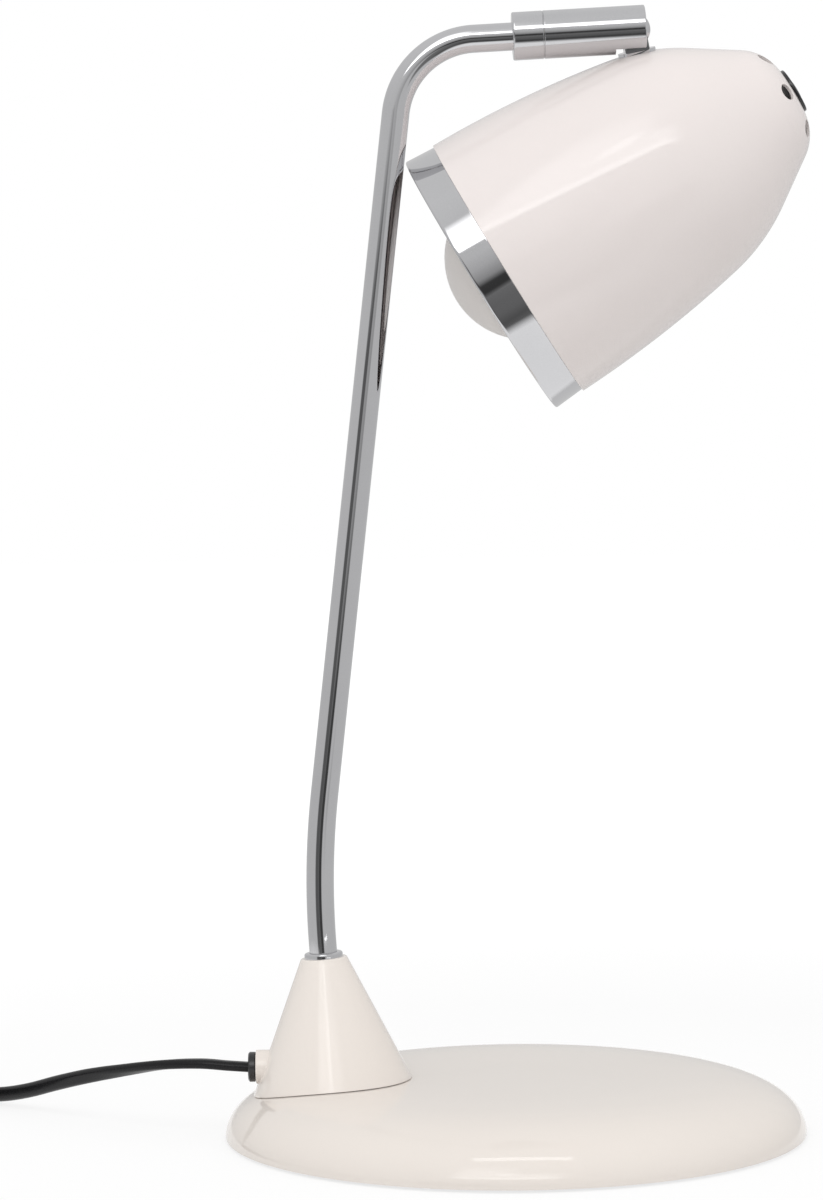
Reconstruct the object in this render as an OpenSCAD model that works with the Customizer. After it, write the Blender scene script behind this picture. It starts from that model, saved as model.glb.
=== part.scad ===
// Desk lamp: weighted round base, leaning chrome arm, swivelling and tilting bullet shade.
// Millimetres. The table is z = 0, the origin is under the middle of the base, and the
// arm and the shade lie in the plane y = 0, with the shade towards +X and the cord towards -X.

/* [Base] */
// Diameter of the base
base_d = 210; // [180:1:240]
// Height of the top of the base above the table
base_h = 20.6; // [19:0.1:26]
// How square the edge of the base is in section, where a higher number is squarer
base_square = 6.6; // [5:0.1:8]
// How flat the crown of the base is, where 2 is a true oval
base_crown = 1.92; // [1.8:0.01:2.4]
// Thickness of the pressed cover
cover_t = 1.2; // [0.8:0.1:1.8]
// Height of the cover's open edge above the table
cover_lift = 1; // [0.6:0.1:1.5]
// Diameter of the cast weight inside the cover
weight_d = 176; // [140:1:180]
// Thickness of the weight's plate
weight_t = 7; // [6:0.5:9]
// Thickness of the soft pad under the base
pad_t = 2; // [1.6:0.1:3]

/* [Cone foot] */
// Distance from the middle of the base to the middle of the cone
cone_out = 65.7; // [60:0.1:72]
// Outward lean of the cone
cone_lean = 3.8; // [2:0.1:6]
// Diameter of the cone where it meets the base
cone_d = 55.8; // [50:0.1:60]
// Diameter of the cone's top
cone_top_d = 16.6; // [16:0.1:20]
// Height of the cone
cone_h = 44.5; // [40:0.1:52]
// Wall of the cone
cone_wall = 2.2; // [1.6:0.1:2.6]
// Diameter of the side boss that the cord enters
boss_d = 12.2; // [11.8:0.1:13]
// Height of the cord's entry above the seat of the cone
boss_up = 4.9; // [4.7:0.1:7]
// Distance from the cone's axis to the face of the boss
boss_reach = 28.1; // [27:0.1:32]

/* [Arm] */
// Outer diameter of the arm tube
tube_d = 10; // [9:0.1:12]
// Wall of the arm tube
tube_wall = 1.3; // [1:0.1:1.5]
// Lean of the arm towards the shade
arm_lean = 6.8; // [0:0.1:12]
// Length of the straight part of the arm
arm_len = 247; // [160:1:320]
// Radius of the gentle bend above the cone
low_bend_r = 300; // [200:5:400]
// Radius of the bend at the top
top_bend_r = 30; // [25:1:36]
// Rise of the short upper run
run_rise = 2.5; // [0:0.1:6]
// Length of the upper run from the bend to the sleeve
run_len = 14; // [6:1:40]

/* [Swivel] */
// Diameter of the sleeve and of the swivel body
swivel_d = 17.2; // [17:0.1:20]
// Length of the fixed sleeve
sleeve_len = 10.9; // [10:0.1:16]
// Length of the swivel body
body_len = 36.6; // [34:0.1:44]
// Distance from the tilt screw to the end of the swivel body
pin_back = 4.5; // [4.2:0.1:6]
// Diameter of the tilt screw
pin_d = 4; // [3:0.1:5]
// Radius of the round eye that the tilt screw passes through
eye_r = 6.2; // [5.8:0.1:7]
// Width of the eye across the swivel body
eye_w = 11; // [9.4:0.1:11.2]
// Width of the neck below the eye, seen from the side
neck_w = 8.8; // [8.2:0.1:10]
// How much nearer to the tilt screw the shade lies than the side of the swivel body does
neck_sink = 0.2; // [-1.4:0.1:0.4]

/* [Shade] */
// Tilt of the shade's axis below the horizontal
head_tilt = 31.3; // [31:0.1:45]
// Angle that the head is swivelled about the upper run at rest
head_turn = 12; // [0:1:30]
// Diameter of the mouth
mouth_d = 105.4; // [96:0.1:112]
// Radius of the long curve of the flank
flank_r = 420; // [300:1:500]
// Slope where the flank ends
flank_angle = 11.2; // [9:0.1:13]
// Radius of the shoulder curve
shoulder_r = 73; // [60:1:90]
// Slope where the shoulder ends
shoulder_angle = 34.3; // [30:0.1:38]
// Length of the straight taper behind the shoulder
taper_len = 19.3; // [16:0.1:22]
// Radius of the nose
nose_r = 18.25; // [14:0.1:20]
// Slope of the shade where the tongue is bolted on
stem_angle = 19.7; // [16:0.1:22]
// Thickness of the shade
shade_t = 1; // [0.8:0.1:1.2]
// Width of the bright band round the mouth
band_w = 11.8; // [8:0.1:16]
// Number of vent holes round the nose
vent_count = 6; // [4:1:7]
// Diameter of a vent hole
vent_d = 6.4; // [4:0.1:7]
// Diameter of the dark switch ring on the nose
ring_d = 17; // [16:0.1:19]
// Diameter of the push button in the ring
button_d = 10.8; // [9:0.1:11.5]
// Travel of the push button
button_travel = 1.2; // [0.8:0.1:1.5]

/* [Bulb and holder] */
// Diameter of the bulb
bulb_d = 60; // [45:1:60]
// Length of the bulb
bulb_len = 106; // [100:1:108]
// How far the bulb stands out of the mouth
bulb_out = 10.6; // [5:0.1:14]
// Diameter of the bulb's screw cap
bulb_cap_d = 26.4; // [26:0.1:27]
// Diameter of the lampholder
holder_d = 38.6; // [36:0.1:40]
// Length of the lampholder's skirt
holder_len = 32; // [30:0.5:34]

/* [Cord] */
// Width of the flat cord
cord_w = 5.6; // [5:0.1:6]
// Thickness of the flat cord
cord_t = 3.5; // [3:0.1:3.6]
// Width of the plug
plug_w = 35; // [33:0.5:36]
// Height of the plug
plug_h = 13.8; // [13:0.1:15]
// Length of the plug's body
plug_len = 36; // [33:0.5:38]
// Length of a plug pin
plug_pin_len = 19; // [18:0.5:20]

/* [Hidden] */
$fn = 96;

// Clearances
thread_gap = 0.05;
seat_gap = 0.3;
hole_gap = 0.2;
eps = 0.01;

// Colours
paint = [0.91, 0.88, 0.85];
chrome = [0.78, 0.79, 0.8];
steel = [0.6, 0.6, 0.62];
iron = [0.3, 0.3, 0.31];
brass = [0.8, 0.65, 0.35];
black = [0.07, 0.07, 0.08];
opal = [0.95, 0.95, 0.93];

// Unit vector at an angle a from +X, in the plane of the arm
function dir(a) = [cos(a), 0, sin(a)];
function lerp(a, b, t) = a + (b - a) * t;
function smooth(t) = let (u = min(max(t, 0), 1)) u * u * (3 - 2 * u);
function arc(c, r, a0, a1, n) = [for (i = [0:n])
    c + r * [cos(lerp(a0, a1, i / n)), sin(lerp(a0, a1, i / n))]];
function reversed(v) = [for (i = [len(v) - 1:-1:0]) v[i]];

// Base: section of the domed cover, (r / R)^square + (z / h)^crown = 1
base_r = base_d / 2;
dome_h = base_h - cover_lift;
dome_steps = 26;
function dome_z(r) = cover_lift + dome_h * pow(1 - pow(r / base_r, base_square), 1 / base_crown);
function dome_side(inset) = [for (i = [0:dome_steps]) let (t = 90 * i / dome_steps)
    [(base_r - inset) * pow(cos(t), 2 / base_square),
     cover_lift + (dome_h - inset) * pow(sin(t), 2 / base_crown)]];
weight_r = weight_d / 2;
pad_r = base_r - 6;

// Cone: its seat on the dome and its axis
foot = [-cone_out, 0, dome_z(cone_out)];
cone_r = cone_d / 2;
cone_top_r = cone_top_d / 2;
cone_slope = (cone_r - cone_top_r) / cone_h;
cone_skirt = 12;
cone_floor = 1.4;
cone_roof = 4;
bolt_d = 5;
bolt_boss_r = 4.2;
bolt_boss_top = 3.6;
bolt_drop = 15;
boss_face_x = foot.x - boss_reach;
boss_z = foot.z + boss_up;
function cone_inner_r(h) = cone_r - cone_slope * h - cone_wall * sqrt(1 + cone_slope * cone_slope);

// Arm: headings and corner points of its centre line, from the cone to the sleeve
up_heading = 90 + cone_lean;
arm_heading = 90 - arm_lean;
tube_r = tube_d / 2;
tube_bore_r = tube_r - tube_wall;
tube_in = 11.5;
collar_t = 1.9;
low_start = cone_h + collar_t + 2.2;
low_a = foot + dir(up_heading) * low_start;
low_c = low_a + dir(up_heading - 90) * low_bend_r;
low_b = low_c - dir(arm_heading - 90) * low_bend_r;
top_a = low_b + dir(arm_heading) * arm_len;
top_c = top_a + dir(arm_heading - 90) * top_bend_r;
top_b = top_c - dir(run_rise - 90) * top_bend_r;
sleeve_p = top_b + dir(run_rise) * run_len;

// Swivel: stations along its axis from the open end of the sleeve
swivel_r = swivel_d / 2;
socket_depth = 8;
nipple_r = 4;
nipple_bore_r = 3.05;
nipple_end = 24;
washer_t = 0.3;
body_x0 = sleeve_len + washer_t + 0.1;
body_x1 = body_x0 + body_len;
wall_x = body_x0 + 4.5;
chamber_r = 6.7;
chamber_x = wall_x + 11;
pin_x = body_x1 - pin_back;
pin_r = pin_d / 2;
pin_p = sleeve_p + dir(run_rise) * pin_x;
slot_x = pin_x - eye_r - 0.35;
slot_top = eye_r + 0.4;
slot_half = eye_w / 2 + 0.2;
eye_bevel = 2.5;
screw_head_r = 2.6;
screw_head_t = 1.1;
screw_seat_y = slot_half + 1.2;
lead_r = 1.3;
lead_hole_r = 1.9;
lead_slant = 40;
lead_in = [-6.4, -1.1];

// Shade: centres of its arcs in (station, radius), the mouth at station 0
mouth_r = mouth_d / 2;
standoff = swivel_r - neck_sink;
ring_sleeve_r = 6.7;
flank_c = [0, mouth_r - flank_r];
shoulder_c = flank_c + (flank_r - shoulder_r) * [sin(flank_angle), cos(flank_angle)];
taper_a = shoulder_c + shoulder_r * [sin(shoulder_angle), cos(shoulder_angle)];
taper_b = taper_a + taper_len * [cos(shoulder_angle), -sin(shoulder_angle)];
// The nose is rounded only as far as leaves a flat for the switch ring's sleeve
nose_round = min(nose_r, (taper_b.y - ring_sleeve_r - seat_gap) / cos(shoulder_angle));
nose_c = taper_b - nose_round * [sin(shoulder_angle), cos(shoulder_angle)];
nose_s = nose_c.x + nose_round;
stem_at = shoulder_c + shoulder_r * [sin(stem_angle), cos(stem_angle)];
pin_at = stem_at + standoff * [sin(stem_angle), cos(stem_angle)];
mouth_p = pin_p - dir(head_tilt) * pin_at.x - dir(head_tilt + 90) * pin_at.y;
stem_lean = head_tilt - stem_angle;
function flank_at(s, g) = flank_c.y + sqrt(pow(flank_r + g, 2) - s * s);
// Outline of the shade at a distance g outside its surface, as (radius, station) from s0 to the nose
function shade_side(g, s0) = let (a0 = asin(s0 / (flank_r + g))) [for (p = concat(
    arc(flank_c, flank_r + g, 90 - a0, 90 - flank_angle, 10),
    arc(shoulder_c, shoulder_r + g, 90 - flank_angle, 90 - shoulder_angle, 8),
    arc(nose_c, nose_round + g, 90 - shoulder_angle, 0, 10))) [p.y, p.x]];
band_t = 0.8;
band_lip = 1.9;
band_round = 0.7;
band_step = 0.95;
spigot_len = 6;
vent_polar = 31;
// Where the first vent hole stands, turned from the lowest line of the shade
vent_first = 20;
saddle_r = 6.85;
saddle_t = 0.8;
shank_r = 4;
shank_end = 16;
stem_washer_at = standoff + shade_t + 0.85;
ring_r = ring_d / 2;
ring_t = 1.25;
button_r = button_d / 2;
button_top = 2;
button_gap = 0.35;
button_stem_r = 2;
nipple_m10_r = 5;
nipple_top = 1.5;

// Bulb and lampholder stations along the shade's axis
bulb_r = bulb_d / 2;
bulb_neck_r = 14;
bulb_neck_blend = 30;
bulb_c = bulb_r - bulb_out;
bulb_blend_a = asin((bulb_neck_r + bulb_neck_blend) / (bulb_r + bulb_neck_blend));
bulb_blend_s = bulb_c + (bulb_r + bulb_neck_blend) * cos(bulb_blend_a);
bulb_end = bulb_len - bulb_out;
bulb_tip_t = 3.6;
bulb_cap_len = 25;
bulb_cap_s = bulb_end - bulb_tip_t - bulb_cap_len;
glass_t = 1;
bulb_cap_r = bulb_cap_d / 2;
holder_r = holder_d / 2;
holder_s = bulb_end - 28;
holder_split = holder_s + holder_len;
holder_back = holder_split + 14;
block_s = bulb_end + 1.2;

// Cord: route points, chosen by hand
grip_flange_r = 5.4;
grip_flange_t = 2.6;
grip_len = 20;
exit_x = boss_face_x - 0.1 - grip_flange_t;
lead_bend_r = 10;
lie_z = cord_w / 2 + 0.05;
coil_c = [-250, 60, lie_z];
coil_in_r = 23.3;
coil_step = 5;
coil_rise = cord_w + 0.5;
coil_start = 49;
coil_turns = 7 + (180 - coil_start) / 360;
coil_rings = 24;
climb_turns = 0.26;
tail_len = 26;
coil_out_r = coil_in_r + coil_step * coil_turns / 2;

// Centre line of the coil: it spirals in, climbs one layer, and spirals out again
function coil_point(t) = let (
    back = sqrt(pow(t - coil_turns / 2, 2) + 0.0004),
    r = coil_in_r + coil_step * back,
    a = coil_start + 360 * t,
    lift = coil_rise * smooth((t - coil_turns / 2) / climb_turns + 0.5))
    coil_c + [r * cos(a), r * sin(a), lift];
coil_steps = round(coil_rings * coil_turns);
coil_pts = [for (i = [0:coil_steps]) coil_point(coil_turns * i / coil_steps)];
coil_way = [-sin(coil_start), cos(coil_start), 0];
// Points that the cord passes from the grip to the coil, and how far its flat side has turned up
run_pts = [[exit_x, 0, boss_z], [-104, 0, 25.6], [-114, 1, 26.3], [-128, 6, 25.2], [-144, 17, 21.5],
    [-158, 29, 17.5], [-171, 42, 12.8], [-183, 54.5, 8], [-194, 66, 4.6], [-204, 75, 3.1],
    coil_pts[0] - 10 * coil_way, coil_pts[0]];
run_twist = [0, 0, 0, 0.1, 0.4, 0.75, 0.95, 1, 1, 1, 1, 1];

// Half sections of the flat cord, as offsets (across, along the broad side)
flat_six = [for (p = [[1, 0.43], [0, 1], [-1, 0.43], [-1, -0.43], [0, -1], [1, -0.43]])
    [p.x * cord_t / 2, p.y * cord_w / 2]];
flat_eight = [for (p = [[1, 0.6], [0.5, 1], [-0.5, 1], [-1, 0.6],
        [-1, -0.6], [-0.5, -1], [0.5, -1], [1, -0.6]])
    [p.x * cord_t / 2, p.y * cord_w / 2]];
function unit(v) = v / norm(v);
// Direction of travel at point i, straight along the given headings at the two ends
function heading(pts, i, first, last) = i == 0 ? first : i == len(pts) - 1 ? last
    : unit(unit(pts[i + 1] - pts[i]) + unit(pts[i] - pts[i - 1]));
// Ring of the section at a point: twist 0 lays the broad side level, 1 stands it upright
function ring(p, d, section, twist) = let (
    side = unit(cross([0, 0, 1], d)), over = cross(d, side), a = 90 * twist,
    broad = side * cos(a) + over * sin(a), thin = over * cos(a) - side * sin(a))
    [for (q = section) p + thin * q.x + broad * q.y];
function catmull(p0, p1, p2, p3, t) = 0.5 * ((2 * p1) + (p2 - p0) * t
    + (2 * p0 - 5 * p1 + 4 * p2 - p3) * t * t
    + (3 * p1 - p0 - 3 * p2 + p3) * t * t * t);
// Points and twists between the hand-chosen ones, n to a stretch
function fine(v, n) = [for (i = [0:len(v) - 2], k = [0:n - 1])
    catmull(v[max(i - 1, 0)], v[i], v[i + 1], v[min(i + 2, len(v) - 1)], k / n), v[len(v) - 1]];

// Least distance between the surfaces of two turns, measured on the section's corners
coil_sections = [for (i = [0:len(coil_pts) - 1])
    ring(coil_pts[i], heading(coil_pts, i, coil_way, [0, -1, 0]), flat_six, 1)];
function part_gap(i, j) = let (d = coil_pts[j] - coil_pts[i], r = norm([d.x, d.y]))
    max(abs(d.z) - cord_w, r - cord_t);
coil_gap = min([for (i = [0:len(coil_pts) - 1], j = [i + 14:1:min(i + 34, len(coil_pts) - 1)])
    part_gap(i, j)]);

// Polyhedron through rings of equal size
module skin(rings) {
    n = len(rings[0]);
    m = len(rings);
    quads = [for (i = [0:m - 2], k = [0:n - 1])
        let (a = i * n + k, b = i * n + (k + 1) % n) [a, b, b + n, a + n]];
    tris = [for (q = quads) each [[q[0], q[1], q[2]], [q[0], q[2], q[3]]]];
    polyhedron([for (r = rings) each r],
        concat(tris, [[for (k = [n - 1:-1:0]) k], [for (k = [0:n - 1]) (m - 1) * n + k]]), convexity = 8);
}

// Places
module on_cone() { translate(foot) rotate([0, -cone_lean, 0]) children(); }
module on_run() { translate(sleeve_p) rotate([0, -run_rise, 0]) children(); }
// On the swivel's axis as above, but turned with the head
module on_swivel() { on_run() rotate([head_turn, 0, 0]) children(); }
// Turns a part made in the plane of the arm about the swivel's axis
module turned() {
    on_run() rotate([head_turn, 0, 0]) rotate([0, run_rise, 0]) translate(-sleeve_p) children();
}
module on_head() { turned() translate(mouth_p) rotate([0, 90 - head_tilt, 0]) children(); }
// At the tilt screw, with Z pointing from the shade's surface out along the stem
module on_stem() { turned() translate(pin_p) rotate([0, -stem_lean, 0]) children(); }
// Turns a part made about Z so that it lies along +X
module along_x() { rotate([0, 90, 0]) children(); }
module along_y() { rotate([-90, 0, 0]) children(); }

module tube(r, r_in, h) {
    difference() {
        cylinder(r = r, h = h);
        translate([0, 0, -1]) cylinder(r = r_in, h = h + 2);
    }
}

module hex_nut(across, bore_r, h) {
    difference() {
        cylinder(d = across / cos(30), h = h, $fn = 6);
        translate([0, 0, -1]) cylinder(r = bore_r, h = h + 2);
    }
}

// Bar with round ends in the XY plane, the section of the flat cord
module flat_section(grow = 0) {
    w = cord_w + grow;
    t = cord_t + grow;
    square([t, w - t], center = true);
    for (s = [-1, 1]) translate([0, s * (w - t) / 2]) circle(d = t);
}

// Sweeps a section along the arm, from a height up the cone's axis to a station past the sleeve.
// The straight stretches are a hair slimmer ($slim) and reach a hair into the bends.
module along_arm(from, past) {
    translate(foot + dir(up_heading) * from) rotate([0, 90 - up_heading, 0])
        straight(low_start - from + 0.05) children();
    translate(low_c) rotate([90, 0, 0]) rotate([0, 0, arm_heading + 90])
        bend(up_heading - arm_heading, low_bend_r) children();
    translate(low_b - dir(arm_heading) * 0.05) rotate([0, 90 - arm_heading, 0])
        straight(arm_len + 0.1) children();
    translate(top_c) rotate([90, 0, 0]) rotate([0, 0, run_rise + 90])
        bend(arm_heading - run_rise, top_bend_r) children();
    translate(top_b - dir(run_rise) * 0.05) rotate([0, 90 - run_rise, 0])
        straight(run_len + past + 0.05) children();
}

module straight(length) {
    $slim = 0.01;
    linear_extrude(length) children();
}

module bend(a, r) {
    $slim = 0;
    rotate_extrude(angle = a) translate([r, 0]) children();
}

// Base
module base_cover() {
    color(paint) difference() {
        rotate_extrude($fn = 180) polygon(concat(dome_side(0), reversed(dome_side(cover_t))));
        on_cone() translate([0, 0, -cone_skirt]) cylinder(d = bolt_d + 2 * hole_gap, h = 2 * cone_skirt);
    }
}

module base_weight() {
    color(iron) difference() {
        union() {
            translate([0, 0, pad_t]) rotate_extrude($fn = 180) polygon([[0, 0], [weight_r - 1, 0],
                [weight_r, 1], [weight_r, weight_t - 1.5], [weight_r - 1.5, weight_t], [0, weight_t]]);
            intersection() {
                on_cone() translate([0, 0, -bolt_drop]) cylinder(r = 12, h = bolt_drop + 5);
                translate([0, 0, 3]) rotate_extrude($fn = 180)
                    polygon(concat([[0, 0]], [for (p = dome_side(cover_t + hole_gap)) [p.x, p.y - 3]]));
            }
        }
        on_cone() {
            translate([0, 0, -30]) cylinder(d = bolt_d + 2 * hole_gap, h = 40);
            translate([0, 0, -40]) cylinder(r = 9, h = 40 - bolt_drop + 4);
        }
    }
}

module base_pad() {
    color(black) cylinder(r = pad_r, h = pad_t, $fn = 180);
}

module base_bolt() {
    color(steel) on_cone() {
        translate([0, 0, -bolt_drop + 3]) cylinder(d = bolt_d, h = bolt_drop - 3 + bolt_boss_top - 0.6);
        translate([0, 0, -bolt_drop - 0.6]) cylinder(d = 8 / cos(30), h = 3.6, $fn = 6);
    }
}

module bolt_washer() {
    color(steel) on_cone() translate([0, 0, -bolt_drop + 3]) tube(5.5, bolt_d / 2 + thread_gap, 1);
}

// Cone foot: a casting with a side boss, a threaded boss inside, and a saddle-shaped seat
module stand_cone() {
    skirt_r = cone_r + cone_slope * cone_skirt;
    color(paint) difference() {
        union() {
            on_cone() difference() {
                translate([0, 0, -cone_skirt])
                    cylinder(r1 = skirt_r, r2 = cone_top_r, h = cone_h + cone_skirt);
                translate([0, 0, cone_floor]) cylinder(r1 = cone_inner_r(cone_floor),
                    r2 = cone_inner_r(cone_h - cone_roof), h = cone_h - cone_roof - cone_floor);
                translate([0, 0, cone_h / 2]) cylinder(r = tube_r + thread_gap, h = cone_h);
            }
            on_cone() cylinder(r = bolt_boss_r, h = bolt_boss_top);
            intersection() {
                translate([boss_face_x, 0, boss_z]) along_x() difference() {
                    cylinder(d = boss_d, h = cone_r);
                    translate([0, 0, boss_reach - cone_r + cone_wall + 3])
                        cylinder(d = boss_d + 2, h = cone_r);
                }
                translate([0, 0, -1]) cylinder(r = base_r, h = 200);
            }
        }
        translate([boss_face_x - 1, 0, boss_z]) along_x()
            cylinder(r = 4.1, h = boss_reach - cone_inner_r(boss_up) + 3);
        on_cone() translate([0, 0, -cone_skirt]) cylinder(d = bolt_d + 2 * thread_gap, h = cone_skirt + 20);
        rotate_extrude($fn = 180) polygon(concat([[0, 0]],
            [for (p = dome_side(-seat_gap)) [p.x, p.y]]));
    }
}

module cone_collar() {
    color(chrome) on_cone() translate([0, 0, cone_h]) rotate_extrude() polygon([[tube_r + thread_gap, 0],
        [6.95, 0], [6.95, 1.2], [6.6, 1.7], [6.1, collar_t], [tube_r + thread_gap, collar_t]]);
}

// Arm
module arm_tube() {
    start = cone_h - tube_in;
    color(chrome) difference() {
        along_arm(start, socket_depth - 0.1) circle(r = tube_r - $slim);
        along_arm(start - 1, socket_depth + 1) circle(r = tube_bore_r - $slim);
    }
}

module tube_washer() {
    color(steel) on_cone() translate([0, 0, cone_h - cone_roof - 1]) tube(7.4, tube_r + thread_gap, 1);
}

module tube_nut() {
    color(steel) on_cone() translate([0, 0, cone_h - cone_roof - 5]) hex_nut(13, tube_r + thread_gap, 4);
}

// The cord's own end inside the lamp: along the grip, up into the tube and out to the nipple
module arm_lead() {
    bend_z = boss_z + lead_bend_r * (1 + sin(cone_lean));
    bend_x = foot.x - (bend_z - foot.z) * tan(cone_lean) - lead_bend_r * cos(cone_lean);
    climb = (bend_z - foot.z) / cos(cone_lean);
    color(black) {
        translate([exit_x, 0, boss_z]) along_x() linear_extrude(bend_x - exit_x + 0.05) flat_section(-0.02);
        translate([bend_x, 0, boss_z + lead_bend_r]) rotate([90, 0, 0]) rotate([0, 0, -90])
            rotate_extrude(angle = up_heading) translate([lead_bend_r, 0]) flat_section();
        along_arm(climb - 0.05, nipple_end) flat_section(-2 * $slim);
    }
}

// Swivel joint on the end of the arm
module swivel_sleeve() {
    color(chrome) on_run() along_x() difference() {
        rotate_extrude() polygon(concat([[0, 0]], arc([swivel_r - 0.7, 0.7], 0.7, -90, 0, 5),
            [[swivel_r, sleeve_len], [0, sleeve_len]]));
        translate([0, 0, -1]) cylinder(r = tube_r + thread_gap, h = socket_depth + 1);
        cylinder(r = nipple_r + thread_gap, h = sleeve_len + 1);
    }
}

module swivel_nipple() {
    color(brass) on_run() along_x() translate([0, 0, socket_depth])
        tube(nipple_r, nipple_bore_r, nipple_end - socket_depth);
}

module friction_washer() {
    color(steel) on_run() along_x() translate([0, 0, sleeve_len + 0.05])
        tube(swivel_r - 0.2, nipple_r + thread_gap, washer_t);
}

module spring_washer() {
    color(steel) on_run() along_x() translate([0, 0, wall_x]) rotate_extrude() polygon([
        [nipple_r + 0.05, 0.5],
        [6.3, 0], [6.3, 0.6], [nipple_r + 0.05, 1.1]]);
}

module nipple_nut() {
    color(steel) on_run() along_x() translate([0, 0, wall_x + 1.15]) hex_nut(11, nipple_r + thread_gap, 3);
}

module swivel_body() {
    color(chrome) on_swivel() difference() {
        along_x() rotate_extrude() polygon(concat([[0, body_x0], [swivel_r, body_x0]],
            arc([swivel_r - 0.4, body_x1 - 0.4], 0.4, 0, 90, 4), [[0, body_x1]]));
        along_x() translate([0, 0, body_x0 - 1]) cylinder(r = nipple_r + thread_gap, h = 20);
        along_x() translate([0, 0, wall_x]) cylinder(r = chamber_r, h = chamber_x - wall_x);
        along_x() translate([0, 0, wall_x]) cylinder(r = 4.4, h = slot_x - wall_x + 1);
        translate([slot_x, 0, 0]) rotate([90, 0, 90]) linear_extrude(body_x1 - slot_x + 1)
            polygon([[-slot_half, -swivel_r - 1], [slot_half, -swivel_r - 1],
                [slot_half, slot_top - eye_bevel], [slot_half - eye_bevel, slot_top],
                [eye_bevel - slot_half, slot_top], [-slot_half, slot_top - eye_bevel]]);
        translate([pin_x, 0, 0]) along_y() {
            translate([0, 0, -swivel_r + 1.6]) cylinder(r = pin_r + thread_gap, h = 2 * swivel_r);
            translate([0, 0, screw_seat_y]) cylinder(r = screw_head_r + hole_gap, h = swivel_r);
        }
    }
}

module tilt_screw() {
    color(steel) on_swivel() translate([pin_x, 0, 0]) along_y() difference() {
        union() {
            translate([0, 0, -swivel_r + 1.8]) cylinder(r = pin_r, h = swivel_r - 1.8 + screw_seat_y);
            translate([0, 0, screw_seat_y]) cylinder(r = screw_head_r, h = screw_head_t);
        }
        translate([0, 0, screw_seat_y + 0.5]) cylinder(d = 2.5 / cos(30), h = 5, $fn = 6);
    }
}

module swivel_lead() {
    pts = fine([[nipple_end + 0.1, 0], [pin_x - 14, 0], [pin_x - 11, 0.4], [pin_x - 9.2, 0],
        [slot_x - 0.95, -0.85]], 3);
    color(opal) on_swivel() lead_skin([for (p = pts) [p.x, 0, p.y]], [1, 0, 0], [cos(41), 0, -sin(41)]);
}

// Round lead through points in the plane y = 0, from a first to a last heading
module lead_skin(pts, first, last) {
    skin([for (i = [0:len(pts) - 1])
        let (d = heading(pts, i, unit(first), unit(last)), n = cross(d, [0, 1, 0]))
        [for (k = [0:7]) pts[i] + lead_r * (n * cos(45 * k) - [0, 1, 0] * sin(45 * k))]]);
}

// Head: a barrel-shaped eye, its neck and the threaded stem, drilled for the lead
module head_knuckle() {
    half = eye_w / 2;
    color(chrome) on_stem() difference() {
        union() {
            along_y() rotate_extrude() polygon([[0, -half], [eye_r - eye_bevel, -half],
                [eye_r, eye_bevel - half], [eye_r, half - eye_bevel], [eye_r - eye_bevel, half], [0, half]]);
            translate([-neck_w / 2, -half + 0.5, saddle_t - standoff])
                cube([neck_w, eye_w - 1, standoff - saddle_t - 2]);
            translate([0, 0, -shank_end]) cylinder(r = shank_r, h = shank_end - 4);
        }
        along_y() translate([0, 0, -eye_w]) cylinder(r = pin_r + thread_gap, h = 2 * eye_w);
        translate([0, 0, -shank_end - 1]) cylinder(r = lead_hole_r, h = shank_end - 7.5);
        translate([lead_in.x, 0, lead_in.y]) rotate([0, 180 - lead_slant, 0]) translate([0, 0, -3])
            cylinder(r = lead_hole_r, h = 13);
    }
}

module saddle_washer() {
    color(chrome) difference() {
        on_stem() translate([0, 0, -standoff - 1]) intersection() {
            tube(saddle_r, shank_r + thread_gap, saddle_t + 1);
            translate([-saddle_r - 1, -eye_w / 2, -1]) cube([2 * saddle_r + 2, eye_w, saddle_t + 3]);
        }
        on_head() rotate_extrude($fn = 144)
            polygon(concat([[0, 0]], shade_side(0.05, 0), [[0, nose_s + 0.05]]));
    }
}

module stem_washer() {
    color(steel) on_stem() translate([0, 0, -stem_washer_at - 1]) tube(7.2, shank_r + thread_gap, 1);
}

module stem_nut() {
    color(steel) on_stem() translate([0, 0, -stem_washer_at - 5.05]) hex_nut(13, shank_r + thread_gap, 4);
}

// Shade: spun shell with vents round the nose
module shade_shell() {
    color(paint) difference() {
        on_head() rotate_extrude($fn = 144) polygon(concat(shade_side(0, band_w + 0.05), [[0, nose_s],
            [0, nose_s - shade_t]], reversed(shade_side(-shade_t, band_w + 0.05))));
        on_head() translate([0, 0, nose_s - 5]) cylinder(r = ring_sleeve_r + hole_gap, h = 10);
        on_head() for (k = [0:vent_count - 1]) rotate([0, 0, vent_first + 360 * k / vent_count])
            translate([nose_c.y, 0, nose_c.x]) rotate([0, vent_polar, 0])
            translate([0, 0, nose_round - 5]) cylinder(d = vent_d, h = 10, $fn = 48);
        on_stem() translate([0, 0, -standoff - 6]) cylinder(r = shank_r + hole_gap, h = 8);
    }
}

// Bright band: a rolled lip in front, and behind it a spigot that the shade slides over
module rim_band() {
    rear_r = mouth_r - band_step;
    g = -shade_t - 0.06;
    end_s = band_w + spigot_len;
    color(chrome) on_head() rotate_extrude($fn = 144) polygon(concat(
        [[mouth_r - band_lip, 0]], arc([mouth_r - band_round, band_round], band_round, -90, 0, 5),
        [[rear_r, band_w], [flank_at(band_w, g), band_w], [flank_at(end_s, g), end_s],
         [flank_at(end_s, g) - band_t, end_s], [flank_at(band_w, g) - band_t, band_w - 0.5],
         [mouth_r - band_t, band_round + 0.4], [mouth_r - band_lip, band_t]]));
}

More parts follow.
